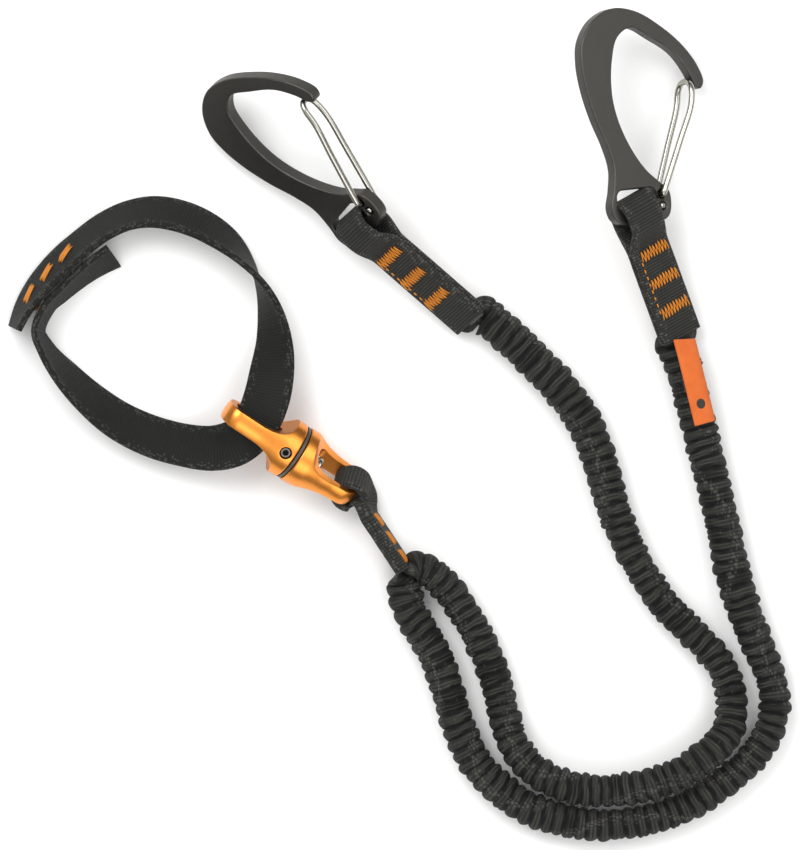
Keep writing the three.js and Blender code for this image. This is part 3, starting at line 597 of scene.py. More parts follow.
def makeCore(arm):
    # seven latex strands laid side by side fill the sleeve
    line = armLine(arm, 1.5 * mm)[9:-8]
    angles = np.linspace(0, 2 * math.pi, 42, endpoint=False)
    way = unit(np.gradient(line, axis=0))
    side = unit(np.cross(way, [0, 0, 1.0]))
    up = np.cross(side, way)
    radius = (2.6 + 0.35 * np.abs(np.sin(3 * angles))) * mm
    offset = radius[None, :, None] * (
        np.cos(angles)[None, :, None] * side[:, None] + np.sin(angles)[None, :, None] * up[:, None])
    piece = loft(f"{arm['side']}_arm_core", line[:, None] + offset, angles * 3 * mm, runOf(line), latexStrands)
    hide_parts(f"{arm['side']}_elastic_core")
    stretchWithTab(piece, arm)


for arm in (leftArm, rightArm):
    makeSleeve(arm)
    makeCore(arm)


# ---- flat webbing ----
def strapSection():
    # half-width and half-thickness shares of a flattened tube, going round from one edge
    edge = np.linspace(-math.pi / 2, math.pi / 2, 9)
    flat = np.linspace(0, 1, 19)[1:-1]
    bulge = 0.95 * webbing["ply"] / webbing["width"]
    right = [(1 - bulge + bulge * math.cos(a), math.sin(a)) for a in edge]
    top = [(1 - bulge - 2 * (1 - bulge) * t, 1 - 0.07 * math.sin(math.pi * t) ** 0.5) for t in flat]
    return np.array(right + top + [(-x, -y) for x, y in right] + [(-x, -y) for x, y in top])


def makeStrap(name, centres, widths, material=None, ply=None, ribs=True):
    # bends the flattened tube along centres; each width vector is as long as the share of width kept
    ply = ply or webbing["ply"] + 0.8 * webbing["gap"]
    section = strapSection()
    way = unit(np.gradient(centres, axis=0))
    share = np.linalg.norm(widths, axis=1)
    across = unit(widths - (widths * way).sum(axis=1, keepdims=True) * way)
    up = np.cross(across, way)
    run = runOf(centres)
    half = share * webbing["width"] / 2
    flats = np.abs(section[:, 1]) ** 6
    wave = np.abs(np.sin(math.pi * run / webbing["ribs"])) ** 0.7 - 0.6
    ridge = 0.09 * mm * wave[:, None] * (0.35 + 0.65 * flats)[None, :] if ribs else 0
    thick = np.sign(section[:, 1])[None, :] * ridge + section[None, :, 1] * ply / 2
    thick = thick * (1 + 0.5 * (1 - share[:, None]))
    points = centres[:, None] + (half[:, None] * section[None, :, 0])[..., None] * across[:, None] + thick[..., None] * up[:, None]
    scaled = section * [webbing["width"] / 2, ply / 2]
    around = runOf(scaled)
    edgeBand = np.clip((np.abs(section[:, 0]) - 0.62) / 0.12, 0, 1)
    selvage = np.repeat(edgeBand[None, :], len(centres), axis=0)
    return loft(name, points, around, run, material or strapCloth, selvage)


tackStitch = {"radius": 0.2 * mm, "crown": 0.2 * mm}
tabTack = {"length": 11.4 * mm, "along": 4.2 * mm, "pitch": 1.25 * mm, "slant": 0.0}
edgeTack = {"length": 5.6 * mm, "along": 5.4 * mm, "pitch": 0.8 * mm, "slant": -0.2}
loopTack = {"length": 2.9 * mm, "along": 6.4 * mm, "pitch": 0.55 * mm, "slant": -0.47}


def zigzagStitch(centre, across, along, up, tack, rng):
    # one tack on one face: a close zigzag that dives into the webbing at each turn
    corners = []
    length = tack["length"]
    teeth = round(length / tack["pitch"])
    along = along + across * tack["slant"]
    for i in range(2 * teeth + 1):
        x = -length / 2 + i * length / (2 * teeth) + rng.uniform(-0.07, 0.07) * mm
        y = (1 if i % 2 else -1) * tack["along"] / 2 * rng.uniform(0.84, 1.12)
        corners.append((x, y))
    lines = []
    for (x0, y0), (x1, y1) in zip(corners, corners[1:]):
        lift = rng.uniform(0, 0.12) * mm
        line = []
        for t in np.linspace(0, 1, 8):
            z = tackStitch["crown"] * (1 - abs(2 * t - 1) ** 4) - 0.1 * mm * (t in (0, 1)) + lift
            line.append(centre + across * (x0 + (x1 - x0) * t) + along * (y0 + (y1 - y0) * t) + up * z)
        lines.append(line)
    return lines


def makeTacks(strap, body, upward, headward, tack, lift=layUp + webbing["ply"] / 2 + 0.1 * mm, aside=0):
    for n, (centre, across, along, up) in enumerate(tackFrames(strap, upward, headward), 1):
        rng = random.Random(f"{strap}{n}")
        centre = centre + across * aside
        faces = [(centre + up * lift, up), (centre - up * lift, -up)]
        lines = [line for at, face in faces for line in zigzagStitch(at, across, along, face, tack, rng)]
        piece = threadTube(f"{strap}_tack_{n}", lines, tackStitch["radius"], orangeThread)
        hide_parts(f"{strap}_bartack_{n}")
        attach(piece, body)


def runningStitch(name, body, start, end, up, dash, gap):
    # short stitches between tacks, close to the strap's edge
    way = unit(end - start)
    total = np.linalg.norm(end - start)
    lines = []
    place = 0.4 * mm
    while place + dash < total:
        share = np.linspace(0, 1, 7)
        lines.append([start + way * (place + dash * s) + up * (0.22 * mm * math.sin(math.pi * s)) for s in share])
        place += dash + gap
    piece = threadTube(name, lines, 0.24 * mm, orangeThread)
    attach(piece, body)


def frayedEnd(name, body, left, right, way, up, tufts, reach, seed):
    # the melted, brushed-out yarn ends along a cut
    rng = random.Random(seed)
    lines = []
    for i in range(tufts):
        share = rng.random()
        root = left + (right - left) * share + up * rng.uniform(-0.75, 0.85) * mm - way * 0.9 * mm
        drift = (right - left) / np.linalg.norm(right - left) * rng.uniform(-0.35, 0.35) * mm
        length = rng.uniform(0.6, 1.0) * reach
        lift = rng.uniform(0.1, 0.5) * mm
        lines.append([root + way * length * s + drift * s * s + up * lift * s for s in np.linspace(0, 1, 4)])
    piece = threadTube(name, lines, 0.09 * mm, frayedYarn, sides=4, ends=0.5)
    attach(piece, body)


# ---- carabiner tabs ----
def foldedLine(side):
    # the strap's middle, seen edge-on: up one side of the bar, round it through the eye, and back
    loop = tab["loopInside"] + webbing["ply"] / 2
    out = [(-tab["lengths"][side] / mm, layUp), (-30, layUp), (-17, layUp), (-10.2, layUp), (-8.4, layUp + 0.5 * mm),
           (-6.2, (layUp + loop) / 2), (-3.5, loop - 0.4 * mm), (0, loop)]
    out = [(y * mm, z) for y, z in out]
    bend = [(tab["foldRise"] + loop * math.sin(a), loop * math.cos(a)) for a in np.radians([0, 30, 60, 90])]
    half = out + bend
    return half + [(y, -z) for y, z in reversed(half[:-1])]


frayed = {
    "left": {"from": 0.05, "tufts": 420, "reach": 1.7 * mm}, "right": {"from": -1.0, "tufts": 260, "reach": 0.7 * mm},
}
tabTackAside = {"left": -0.7 * mm, "right": 0.5 * mm}


def makeTab(side):
    origin, across, along, up = tabFrame(side)
    flat = smoothLine([(0, y, z) for y, z in foldedLine(side)], 0.2 * mm)
    centres = origin + flat[:, 1:2] * along + flat[:, 2:3] * up
    share = 1 - tab["gather"][side] * smoothSteps(flat[:, 1], -9 * mm, -3 * mm)
    piece = makeStrap(f"{side}_tab", centres, share[:, None] * across)
    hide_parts(f"{side}_tab_webbing")
    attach(piece, f"{side}_tab")
    makeTacks(f"{side}_tab", f"{side}_tab", (0, 0, 1), (0, 1, 0), tabTack, aside=tabTackAside[side])
    face = layUp + webbing["ply"] / 2
    edge = {"left": -5.6, "right": -5.6}[side] * mm
    first, last = -tab["firstTack"] - 1.5 * mm, -tab["firstTack"] - 22.5 * mm
    rowStart = origin + across * edge + along * first + up * face
    rowEnd = origin + across * edge + along * last + up * face
    runningStitch(f"{side}_tab_edge_stitch", f"{side}_tab", rowStart, rowEnd, up, 1.3 * mm, 1.2 * mm)
    middle = origin - along * tab["lengths"][side] + up * layUp
    half = webbing["width"] / 2 - 0.5 * mm
    fray = frayed[side]
    frayedEnd(f"{side}_tab_frayed_end", f"{side}_tab", middle + across * half * fray["from"],
              middle + across * half, -along, up, fray["tufts"], fray["reach"], f"{side} end")


for side in ("left", "right"):
    makeTab(side)
print("tabs ready")


# ---- label on the right tab ----
label = {
    "route": [(0.0946, 0.0282, 0.0118), (0.0957, 0.0238, 0.0136), (0.0976, 0.0160, 0.0142),
              (0.0996, 0.0080, 0.0140), (0.1014, 0.0006, 0.0136)],
    "across": (0.86, 0.2, -0.47), "width": 7.8 * mm, "ply": 0.36 * mm, "weft": 0.22 * mm,
    "deep": (0.5, 0.085, 0.008), "bright": (0.72, 0.155, 0.022), "ink": (0.03, 0.025, 0.02),
    "dotAcross": 3.9 * mm, "dotAlong": 22.5 * mm, "dot": 1.7 * mm,
}


def makeLabel():
    # a ribbon folded double: out along the sleeve, round, and back underneath
    top = smoothLine([Vector(p) + benchShift for p in label["route"]], 0.25 * mm)
    way = unit(np.gradient(top, axis=0))
    across = np.array(label["across"])
    across = unit(across - (way @ across)[:, None] * way)
    up = np.cross(across, way)
    up = up * np.sign(up[:, 2:3])
    upper = top + up * 0.2 * mm
    lower = (top - up * 0.2 * mm)[::-1]
    bend = [top[-1] + way[-1] * 0.2 * mm * math.sin(a) + up[-1] * 0.2 * mm * math.cos(a) for a in (0.8, 1.57, 2.4)]
    centres = np.vstack([upper, bend, lower])
    widths = np.vstack([across, [across[-1]] * 3, across[::-1]])
    way = unit(np.gradient(centres, axis=0))
    off = np.vstack([up, [unit(c - top[-1]) for c in bend], -up[::-1]])
    half, thin = label["width"] / 2, label["ply"] / 2
    corners = [(-1, -1), (-0.5, -1.02), (0, -1.03), (0.5, -1.02), (1, -1), (1.02, 0), (1, 1), (0.5, 1.02), (0, 1.03),
               (-0.5, 1.02), (-1, 1), (-1.02, 0)]
    section = np.array(corners) * [half, thin]
    points = centres[:, None] + section[None, :, :1] * widths[:, None] + section[None, :, 1:] * off[:, None]
    around = np.array([x + half for x, _ in section])
    piece = loft("label_ribbon", points, around, runOf(centres), wovenLabel("orange_label", label))
    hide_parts("label_tag")
    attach(piece, "right_tab")


makeLabel()


# ---- carabiners ----
carabiner = {
    "thick": 4.6 * mm, "round": 0.55 * mm, "footHole": 1.4 * mm, "feet": [(6.2, 5.0), (6.2, 1.2)], "bar": (-3.0, -1.5),
    "outline": [
        (28.0, 40.8), (26.2, 46.8), (21.2, 54.0), (14.0, 60.6), (5.0, 66.3), (-4.0, 68.0), (-12.0, 64.8),
        (-17.3, 58.0), (-18.6, 50.5), (-18.0, 42.0), (-15.7, 32.0), (-12.4, 22.5), (-10.9, 15.0),
        (-12.0, 8.0), (-13.6, 2.0), (-12.2, -2.2), (-8.0, -4.0), (4.0, -4.0), (8.2, -2.6), (9.8, 1.4),
        (9.4, 6.2), (6.6, 8.9), (1.6, 13.6), (-3.6, 22.0), (-7.0, 31.5), (-8.0, 40.0), (-6.7, 50.0),
        (-3.4, 58.2), (2.2, 61.0), (10.0, 56.8), (17.8, 51.2), (22.4, 44.6), (24.4, 40.0), (26.4, 38.6),
    ],
    "slot": (-11.0, 4.4, 1.0, 7.6), "slotCorner": 2.6, "slotRound": 0.5 * mm,
    "wire": 1.05 * mm, "apex": (21.9, 41.4), "splay": {"left": 3.7, "right": 4.8},
}


def carabinerFrame(side):
    # its own axes: x along the eye's bar, y towards the nose, z off the flat side
    hinge, gate = joints[f"{side}_carabiner_swing"], joints[f"{side}_gate_open"]
    x, z = Vector(hinge["axis"]).normalized(), Vector(gate["axis"]).normalized()
    y = z.cross(x)
    bar = Vector(hinge["pos_m"])
    origin = bar - x * carabiner["bar"][0] * mm - y * carabiner["bar"][1] * mm
    return Matrix((x, y, z)).transposed().to_4x4() @ Matrix.Identity(4), origin


def placed(side):
    turn, origin = carabinerFrame(side)
    return Matrix.Translation(origin) @ turn


def closedCurve(points, count):
    # a closed smooth outline in even steps
    ring = [*points[-3:], *points, *points[:3]]
    line = smoothLine([(x, y, 0) for x, y in ring], 0.05)
    startPoint, endPoint = np.array([*points[0], 0]), np.array([*points[0], 0])
    first = int(np.argmin(np.linalg.norm(line[: len(line) // 2] - startPoint, axis=1)))
    half = len(line) // 2
    last = half + int(np.argmin(np.linalg.norm(line[half:] - endPoint, axis=1)))
    run = line[first:last]
    return [tuple(run[int(i)]) for i in np.linspace(0, len(run) - 1, count, endpoint=False)]


def roundedSlot():
    left, right, low, high = carabiner["slot"]
    corner = carabiner["slotCorner"]
    points = []
    for cx, cy, r, a0 in ((right - 1, low + 1, 1, -90), (right - corner, high - corner, corner, 0),
                          (left + corner, high - corner, corner, 90), (left + 1, low + 1, 1, 180)):
        points += [(cx + r * math.cos(math.radians(a0 + t)), cy + r * math.sin(math.radians(a0 + t)), 0)
                   for t in range(0, 91, 9)]
    return points


def plateFrom(splines, thick, bevel):
    # a flat plate with rounded edges, from closed outlines; the holes run the other way round
    curve = bpy.data.curves.new("plate", "CURVE")
    curve.dimensions, curve.fill_mode = "2D", "BOTH"
    curve.extrude, curve.bevel_depth, curve.bevel_resolution = thick / 2 - bevel, bevel, 5
    curve.offset = -bevel
    for points in splines:
        spline = curve.splines.new("POLY")
        spline.points.add(len(points) - 1)
        for point, (x, y, z) in zip(spline.points, points):
            point.co = (x * mm, y * mm, 0, 1)
        spline.use_cyclic_u = True
    holder = bpy.data.objects.new("plate", curve)
    bpy.context.scene.collection.objects.link(holder)
    bpy.context.view_layer.update()
    mesh = bpy.data.meshes.new_from_object(holder.evaluated_get(bpy.context.evaluated_depsgraph_get()))
    bpy.data.objects.remove(holder)
    return mesh


def markEdges(piece, flatNormal, half, wearAndHighlightBand):
    # how close each point is to a rounded edge of the plate: the band that gets paler metal, partly as wear and partly
    # as a painted highlight on the bevel
    out = [abs((v.co - flatNormal[0]).dot(flatNormal[1])) for v in piece.data.vertices]
    edgeWearAndHighlight = [1.0 if half - wearAndHighlightBand < d < half - 0.02 * mm else 0.0 for d in out]
    layer = piece.data.attributes.new("edge", "FLOAT", "POINT")
    layer.data.foreach_set("value", np.array(edgeWearAndHighlight, np.float32))


def makeBody(side):
    outline = closedCurve(carabiner["outline"], 420)
    slot = roundedSlot()[::-1]
    holes = [[(x + carabiner["footHole"] / mm * math.cos(a), y - carabiner["footHole"] / mm * math.sin(a), 0)
              for a in np.linspace(0, 2 * math.pi, 28, endpoint=False)] for x, y in carabiner["feet"]]
    if sum(a[0] * b[1] - b[0] * a[1] for a, b in zip(outline, outline[1:] + outline[:1])) < 0:
        outline = outline[::-1]
    mesh = plateFrom([outline, slot, *holes], carabiner["thick"], carabiner["round"])
    editing = bmesh.new()
    editing.from_mesh(mesh)
    bmesh.ops.remove_doubles(editing, verts=editing.verts, dist=0.001 * mm)
    bmesh.ops.recalc_face_normals(editing, faces=editing.faces)
    editing.to_mesh(mesh)
    editing.free()
    piece = finishPiece(f"{side}_carabiner", mesh, greyAnodised)
    markEdges(piece, (Vector((0, 0, 0)), Vector((0, 0, 1))), carabiner["thick"] / 2, 0.5 * mm)
    mesh.transform(placed(side))
    weighted = piece.modifiers.new("even shading", "WEIGHTED_NORMAL")
    weighted.weight = 100
    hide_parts(f"{side}_carabiner_body")
    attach(piece, f"{side}_carabiner")


def gatePath(side):
    # one wire: a foot through the body, up one side, round the nose and back
    splay = carabiner["splay"][side]
    side = carabiner["thick"] / mm / 2 + carabiner["wire"] / mm + 0.3
    tip = carabiner["thick"] / mm / 2 + 0.3
    upper, lower = carabiner["feet"]
    ax, ay = carabiner["apex"]

    def rise(share, foot):
        return foot[0] + (ax - foot[0]) * share, foot[1] + (ay - 5 - foot[1]) * share

    return [
        (*upper, -tip), (*upper, 0), (*upper, side - 1.1), (upper[0] + 0.3, upper[1] + 0.5, side - 0.2),
        (*rise(0.1, upper), side), (*rise(0.55, upper), (side + splay) / 2 + 0.1), (*rise(0.9, upper), splay - 0.1),
        (ax - 0.3, ay - 2.6, splay - 0.6), (ax, ay - 0.5, splay * 0.5), (ax, ay, 0),
        (ax, ay - 0.5, -splay * 0.5), (ax - 0.3, ay - 2.6, 0.6 - splay),
        (*rise(0.9, lower), 0.1 - splay), (*rise(0.55, lower), -(side + splay) / 2 - 0.1), (*rise(0.1, lower), -side),
        (lower[0] + 0.3, lower[1] + 0.5, 0.2 - side), (*lower, 1.1 - side), (*lower, 0), (*lower, tip),
    ]


def makeGate(side):
    turn = placed(side)
    line = smoothLine([turn @ (Vector(p) * mm) for p in gatePath(side)], 0.35 * mm)
    way = unit(np.gradient(line, axis=0))
    faceWay = np.array(turn.to_3x3() @ Vector((0, 0, 1)))
    sideways = np.array(turn.to_3x3() @ Vector((0.93, -0.36, 0)))
    across = unit(np.cross(way, sideways + 0.02 * faceWay))
    across = across * np.sign((across * np.roll(across, 1, axis=0)).sum(axis=1, keepdims=True)).cumprod(axis=0)
    up = np.cross(across, way)
    run = runOf(line)
    fromEnd = np.minimum(run, run[-1] - run) / carabiner["wire"]
    radius = carabiner["wire"] * np.sqrt(np.clip(1 - (1 - np.clip(fromEnd * 2.2, 0, 1)) ** 2 * 0.6, 0.1, 1))
    angles = np.linspace(0, 2 * math.pi, 24, endpoint=False)
    ring = line[:, None] + radius[:, None, None] * (
        np.cos(angles)[None, :, None] * across[:, None] + np.sin(angles)[None, :, None] * up[:, None])
    piece = loft(f"{side}_gate", ring, angles * carabiner["wire"], run, steel)
    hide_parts(f"{side}_wire_gate")
    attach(piece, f"{side}_gate")


for side in ("left", "right"):
    makeBody(side)
    makeGate(side)
print("carabiners ready")


# ---- swivel ----
swivel = {
    "collar": 10.0, "halfGap": 0.8, "arm": 3.1, "shoulder": 7.6,
    "eye": {"reach": 27.6, "floor": 8.0, "end": 24.6, "half": 4.9, "corner": 3.9, "bore": 2.3},
    "fork": {"reach": 25.4, "floor": 7.0, "end": 21.4, "half": 4.9, "corner": 2.2, "bore": 3.4, "barReach": 3.85},
    "screw": {"y": 4.1, "radius": 1.9, "hole": 2.05, "low": 2.3, "top": 9.2, "socket": 1.15},
    "ring": {"outer": 9.72, "inner": 2.6, "half": 0.52},
    "voxel": 0.15 * mm,
}


def swivelFrame(half):
    # y runs from the fork to the eye along the spin axis; z lies across that half's slot
    spin = joints["swivel_spin"]
    y = Vector(spin["axis"]).normalized()
    name = {"eye": "harness_loop_swing", "fork": "swivel_fork_swing"}[half]
    z = Vector(joints[name]["axis"])
    z = (z - y * z.dot(y)).normalized()
    turn = Matrix((y.cross(z), y, z)).transposed().to_4x4()
    return Matrix.Translation(Vector(spin["pos_m"])) @ turn


def turnedSolid(profile, steps=96):
    # a closed solid of revolution about y, from (radius, y) pairs that start and end on the axis
    mesh = bmesh.new()
    columns = []
    for radius, y in profile:
        if radius < 1e-6:
            columns.append([mesh.verts.new((0, y * mm, 0))])
        else:
            turn = np.linspace(0, 2 * math.pi, steps, endpoint=False)
            columns.append([mesh.verts.new((radius * mm * math.cos(a), y * mm, radius * mm * math.sin(a))) for a in turn])
    for low, high in zip(columns, columns[1:]):
        for i in range(steps):
            k = (i + 1) % steps
            corner = [low[i % len(low)], low[k % len(low)], high[k % len(high)], high[i % len(high)]]
            unique = list(dict.fromkeys(corner))
            if len(unique) > 2:
                mesh.faces.new(unique)
    return meshHolder(mesh)


def slabSolid(outline, depth, turn=None):
    # a straight prism from an outline in x and y
    mesh = bmesh.new()
    low = [mesh.verts.new((x * mm, y * mm, -depth * mm)) for x, y in outline]
    high = [mesh.verts.new((x * mm, y * mm, depth * mm)) for x, y in outline]
    mesh.faces.new(low[::-1])
    mesh.faces.new(high)
    for i in range(len(outline)):
        k = (i + 1) % len(outline)
        mesh.faces.new((low[i], low[k], high[k], high[i]))
    if turn:
        bmesh.ops.transform(mesh, matrix=turn, verts=mesh.verts)
    return meshHolder(mesh)


def meshHolder(editing):
    bmesh.ops.recalc_face_normals(editing, faces=editing.faces)
    data = bpy.data.meshes.new("blank")
    editing.to_mesh(data)
    editing.free()
    holder = bpy.data.objects.new("blank", data)
    bpy.context.scene.collection.objects.link(holder)
    return holder


def carve(blank, cuts, voxel=None, smoothing=0):
    # applies each cut to the blank, then evens the skin so that every edge is slightly broken
    for operation, tool in cuts:
        cut = blank.modifiers.new("cut", "BOOLEAN")
        cut.operation, cut.object, cut.solver = operation, tool, "EXACT"
    if voxel:
        skin = blank.modifiers.new("skin", "REMESH")
        skin.mode, skin.voxel_size, skin.use_smooth_shade = "VOXEL", voxel, True
        ease = blank.modifiers.new("ease", "SMOOTH")
        ease.factor, ease.iterations = 0.5, smoothing
    bpy.context.view_layer.update()
    mesh = bpy.data.meshes.new_from_object(blank.evaluated_get(bpy.context.evaluated_depsgraph_get()))
    for used in (blank, *[tool for _, tool in cuts]):
        bpy.data.objects.remove(used)
    return mesh


def curveThrough(start, control, end, count=10):
    # a quadratic curve, its start left out
    share = np.linspace(0, 1, count + 1)[1:]
    return [tuple((1 - t) ** 2 * np.array(start) + 2 * t * (1 - t) * np.array(control) + t * t * np.array(end)) for t in share]


def swivelProfile(dims):
    r, end, gap = swivel["collar"], swivel["shoulder"], swivel["halfGap"]
    line = [(0, gap), (r - 0.35, gap), (r, gap + 0.35)]
    side = smoothLine([(x, y, 0) for x, y in ((r, 3.2), (9.85, 5.5), (9.35, 8.2), (8.75, 11), (8.25, 14),
                       (7.85, dims["reach"] - 9), (end, dims["reach"] - end * 0.75))], 0.4)
    line += [(x, y) for x, y, _ in side]
    line += curveThrough((end, dims["reach"] - end * 0.75), (end * 0.98, dims["reach"]), (0, dims["reach"]), 16)
    return line


def scoopOutline(dims):
    r, arm, top = swivel["collar"] + 1, swivel["arm"], dims["reach"] + 1
    side = [(r, 0), (r, 4.2), *curveThrough((r, 4.2), (arm + 0.6, 4.8), (arm, 14.5), 20), (arm, top)]
    return side + [(-x, y) for x, y in reversed(side)]


def windowOutline(dims):
    half, low, high, corner = dims["half"], dims["floor"], dims["end"], dims["corner"]
    foot = 3.2
    side = [*curveThrough((0, low), (half, low), (half, low + foot), 10), (half, high - corner)]
    side += curveThrough((half, high - corner), (half, high), (half - corner, high), 8)
    return side + [(-x, y) for x, y in reversed(side)]


def makeHalf(half, body):
    dims = swivel[half]
    depth = 2 * swivel["collar"]
    cuts = [
        ("INTERSECT", slabSolid(scoopOutline(dims), depth)),
        ("DIFFERENCE", slabSolid(windowOutline(dims), depth, Matrix.Rotation(math.pi / 2, 4, "Y"))),
        ("DIFFERENCE", turnedSolid([(0, -1), (dims["bore"], -1), (dims["bore"], 12), (0, 12)], 48)),
    ]
    if half == "eye":
        screw = swivel["screw"]
        hole = turnedSolid([(0, 1), (screw["hole"], 1), (screw["hole"], 13), (0, 13)], 40)
        hole.data.transform(Matrix.Translation((0, screw["y"] * mm, 0)) @ Matrix.Rotation(math.pi / 2, 4, "X"))
        cuts.append(("DIFFERENCE", hole))
    mesh = carve(turnedSolid(swivelProfile(dims)), cuts, swivel["voxel"], 3)
    if half == "fork":
        mesh.transform(Matrix.Rotation(math.pi, 4, "Z"))
    mesh.transform(swivelFrame(half))
    piece = finishPiece(f"swivel_{half}", mesh, orangeAnodised)
    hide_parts(f"swivel_{half}_half")
    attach(piece, body)


def makeTurned(name, profile, material, body, node, frameOf, steps=96):
    holder = turnedSolid(profile, steps)
    mesh = holder.data.copy()
    bpy.data.objects.remove(holder)
    mesh.transform(swivelFrame(frameOf))
    piece = finishPiece(name, mesh, material)
    weighted = piece.modifiers.new("even shading", "WEIGHTED_NORMAL")
    weighted.weight = 100
    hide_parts(node)
    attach(piece, body)


def makeSwivel():
    makeHalf("eye", "swivel_eye")
    makeHalf("fork", "swivel_fork")
    ring = swivel["ring"]
    outer, inner, half = ring["outer"], ring["inner"], ring["half"]
    soft = 0.15
    makeTurned("swivel_ring", [
        (inner, -half), (outer - soft, -half), (outer - soft * 0.3, -half + soft * 0.3), (outer, -half + soft),
        (outer, half - soft), (outer - soft * 0.3, half - soft * 0.3), (outer - soft, half), (inner, half), (inner, -half),
    ], blackPolymer, "swivel_fork", "swivel_seal_ring", "fork")
    makeTurned("swivel_pin", [
        (0, -10.2), (2.6, -10.2), (3.25, -10.05), (3.5, -9.7), (3.5, -8.4), (2.0, -8.4), (2.0, 6.4), (1.6, 6.8), (0, 6.8),
    ], steel, "swivel_eye", "swivel_axle", "eye")
    screw = swivel["screw"]
    plug = turnedSolid([(0, screw["low"]), (screw["radius"], screw["low"]), (screw["radius"], screw["top"] - 0.35),
                        (screw["radius"] - 0.35, screw["top"]), (0, screw["top"])], 48)
    plug.data.transform(Matrix.Translation((0, screw["y"] * mm, 0)) @ Matrix.Rotation(math.pi / 2, 4, "X"))
    hexagon = [(screw["socket"] * math.cos(a), screw["y"] + screw["socket"] * math.sin(a))
               for a in np.radians(range(15, 375, 60))]
    socket = slabSolid(hexagon, 2, Matrix.Translation((0, 0, screw["top"] * mm)))
    mesh = carve(plug, [("DIFFERENCE", socket)])
    # the faces inside the hex socket are painted near-black: painted shade in the recess
    inside = [(Vector((c.x, c.y - screw["y"] * mm, 0)).length < screw["socket"] * mm * 0.99 and c.z > 5 * mm)
              for c in (face.center for face in mesh.polygons)]
    mesh.transform(swivelFrame("eye"))
    piece = finishPiece("swivel_screw", mesh, darkSteel)
    mesh.materials.append(socketShade)
    mesh.polygons.foreach_set("material_index", [int(black) for black in inside])
    mesh.set_sharp_from_angle(angle=math.radians(35))
    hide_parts("swivel_set_screw")
    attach(piece, "swivel_eye")
    for node, finish in (("swivel_axle_bush", bronze), ("swivel_thrust_washer", steel)):
        frame["nodes"][node].data.materials.clear()
        frame["nodes"][node].data.materials.append(finish)


makeSwivel()
print("swivel ready")


# ---- swivel tab: one strap round the fork's bar, its two ends running to the arms ----
swivelTab = {
    "tacks": (14.0 * mm, 21.1 * mm, 28.2 * mm), "length": 32.5 * mm,
}


def swivelTabStations():
    hinge = joints["swivel_fork_swing"]
    bar, barWay = np.array(hinge["pos_m"]), -unit(np.array(hinge["axis"]))
    tacks = tackFrames("swivel_tab", (1, 0, 0), (0, 1, 0))
    away = unit(tacks[2][0] - tacks[0][0])
    end = tacks[2][0] + away * (swivelTab["length"] - swivelTab["tacks"][2])
    tabWay = tacks[0][1] * (1 if tacks[0][1][2] < 0 else -1)
    first = unit(away - (away @ barWay) * barWay)
    straight = [bar + (end - bar) * s for s in (0.34, 0.5, 0.67, 0.83, 1)]
    spine = smoothLine([bar, bar + first * 5.0 * mm, *straight], 0.2 * mm)
    run = runOf(spine)
    length = np.linalg.norm(end - bar)
    loop = (swivel["fork"]["barReach"] + 0.3) * mm + webbing["ply"] / 2
    ways = unit(np.gradient(spine, axis=0))
    legs = []
    for share in (1, 0.92, 0.84, 0.76, 0.68, 0.6, 0.52, 0.44, 0.37, 0.3, 0.24, 0.18, 0.12, 0.06, 0):
        i = int(np.argmin(np.abs(run / run[-1] - share)))
        far = share * length / mm
        twist = smoothSteps(far, 3.7, 10.4)
        across = barWay * (1 - twist) + tabWay * twist
        across = unit(across - (across @ ways[i]) * ways[i])
        up = np.cross(across, ways[i])
        opened = 1 - smoothSteps(far, 0.5, 7.6)
        kept = 0.66 + (0.8 - 0.66) * smoothSteps(far, 3, 9)
        legs.append((spine[i], across * kept, up, layUp + (loop - layUp) * opened))
    point, across, up, _ = legs[-1]
    bend = [(point + up * loop * math.cos(a) - first * loop * math.sin(a), across) for a in np.radians([30, 60, 90, 120, 150])]
    out = [(p + u * off, a) for p, a, u, off in legs]
    back = [(p - u * off, a) for p, a, u, off in reversed(legs)]
    return out + bend + back


def makeSwivelTab():
    stations = swivelTabStations()
    line = smoothLine([np.concatenate([p, a]) for p, a in stations], 0.2 * mm)
    piece = makeStrap("swivel_tab", line[:, :3], line[:, 3:])
    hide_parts("swivel_tab_webbing")
    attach(piece, "tether")
    makeTacks("swivel_tab", "tether", (1, 0, 0), (0, 1, 0), edgeTack)


makeSwivelTab()


# ---- harness loop ----
harnessLoop = {
    # x, y, z of the strap's middle, and how far its lower edge leans out, in degrees
    "stations": [
        (-0.1284, 0.0318, 0.0078, 14), (-0.1250, 0.0394, 0.0078, 22), (-0.1202, 0.0464, 0.0076, 30),
        (-0.1132, 0.0542, 0.0075, 34), (-0.1056, 0.0608, 0.0074, 34), (-0.0984, 0.0660, 0.0073, 35),
        (-0.0900, 0.0697, 0.0073, 37), (-0.0806, 0.0707, 0.0072, 41), (-0.0686, 0.0677, 0.0074, 40),
        (-0.0582, 0.0615, 0.0079, 31), (-0.0508, 0.0536, 0.0086, 11), (-0.0460, 0.0454, 0.0092, -11),
        (-0.0432, 0.0366, 0.0102, -31), (-0.0420, 0.0270, 0.0118, -50), (-0.0426, 0.0176, 0.0138, -72),
        (-0.0445, 0.0080, 0.0159, -92), (-0.0483, -0.0006, 0.0172, -102), (-0.0542, -0.0059, 0.0156, -94),
        (-0.0618, -0.0079, 0.0116, -76), (-0.0706, -0.0072, 0.0080, -66), (-0.0820, -0.0043, 0.0058, -62),
        (-0.0934, 0.0010, 0.0058, -54), (-0.1030, 0.0082, 0.0065, -43), (-0.1114, 0.0166, 0.0072, -31),
        (-0.1174, 0.0242, 0.0077, -17), (-0.1204, 0.0310, 0.0080, -10),
    ],
    # how far along the outer lap each place of the inner lap lies, and its lean
    "innerLap": [(13, -10), (19, -13), (25, -16), (31, -19), (37, -23), (43, -28)],
}


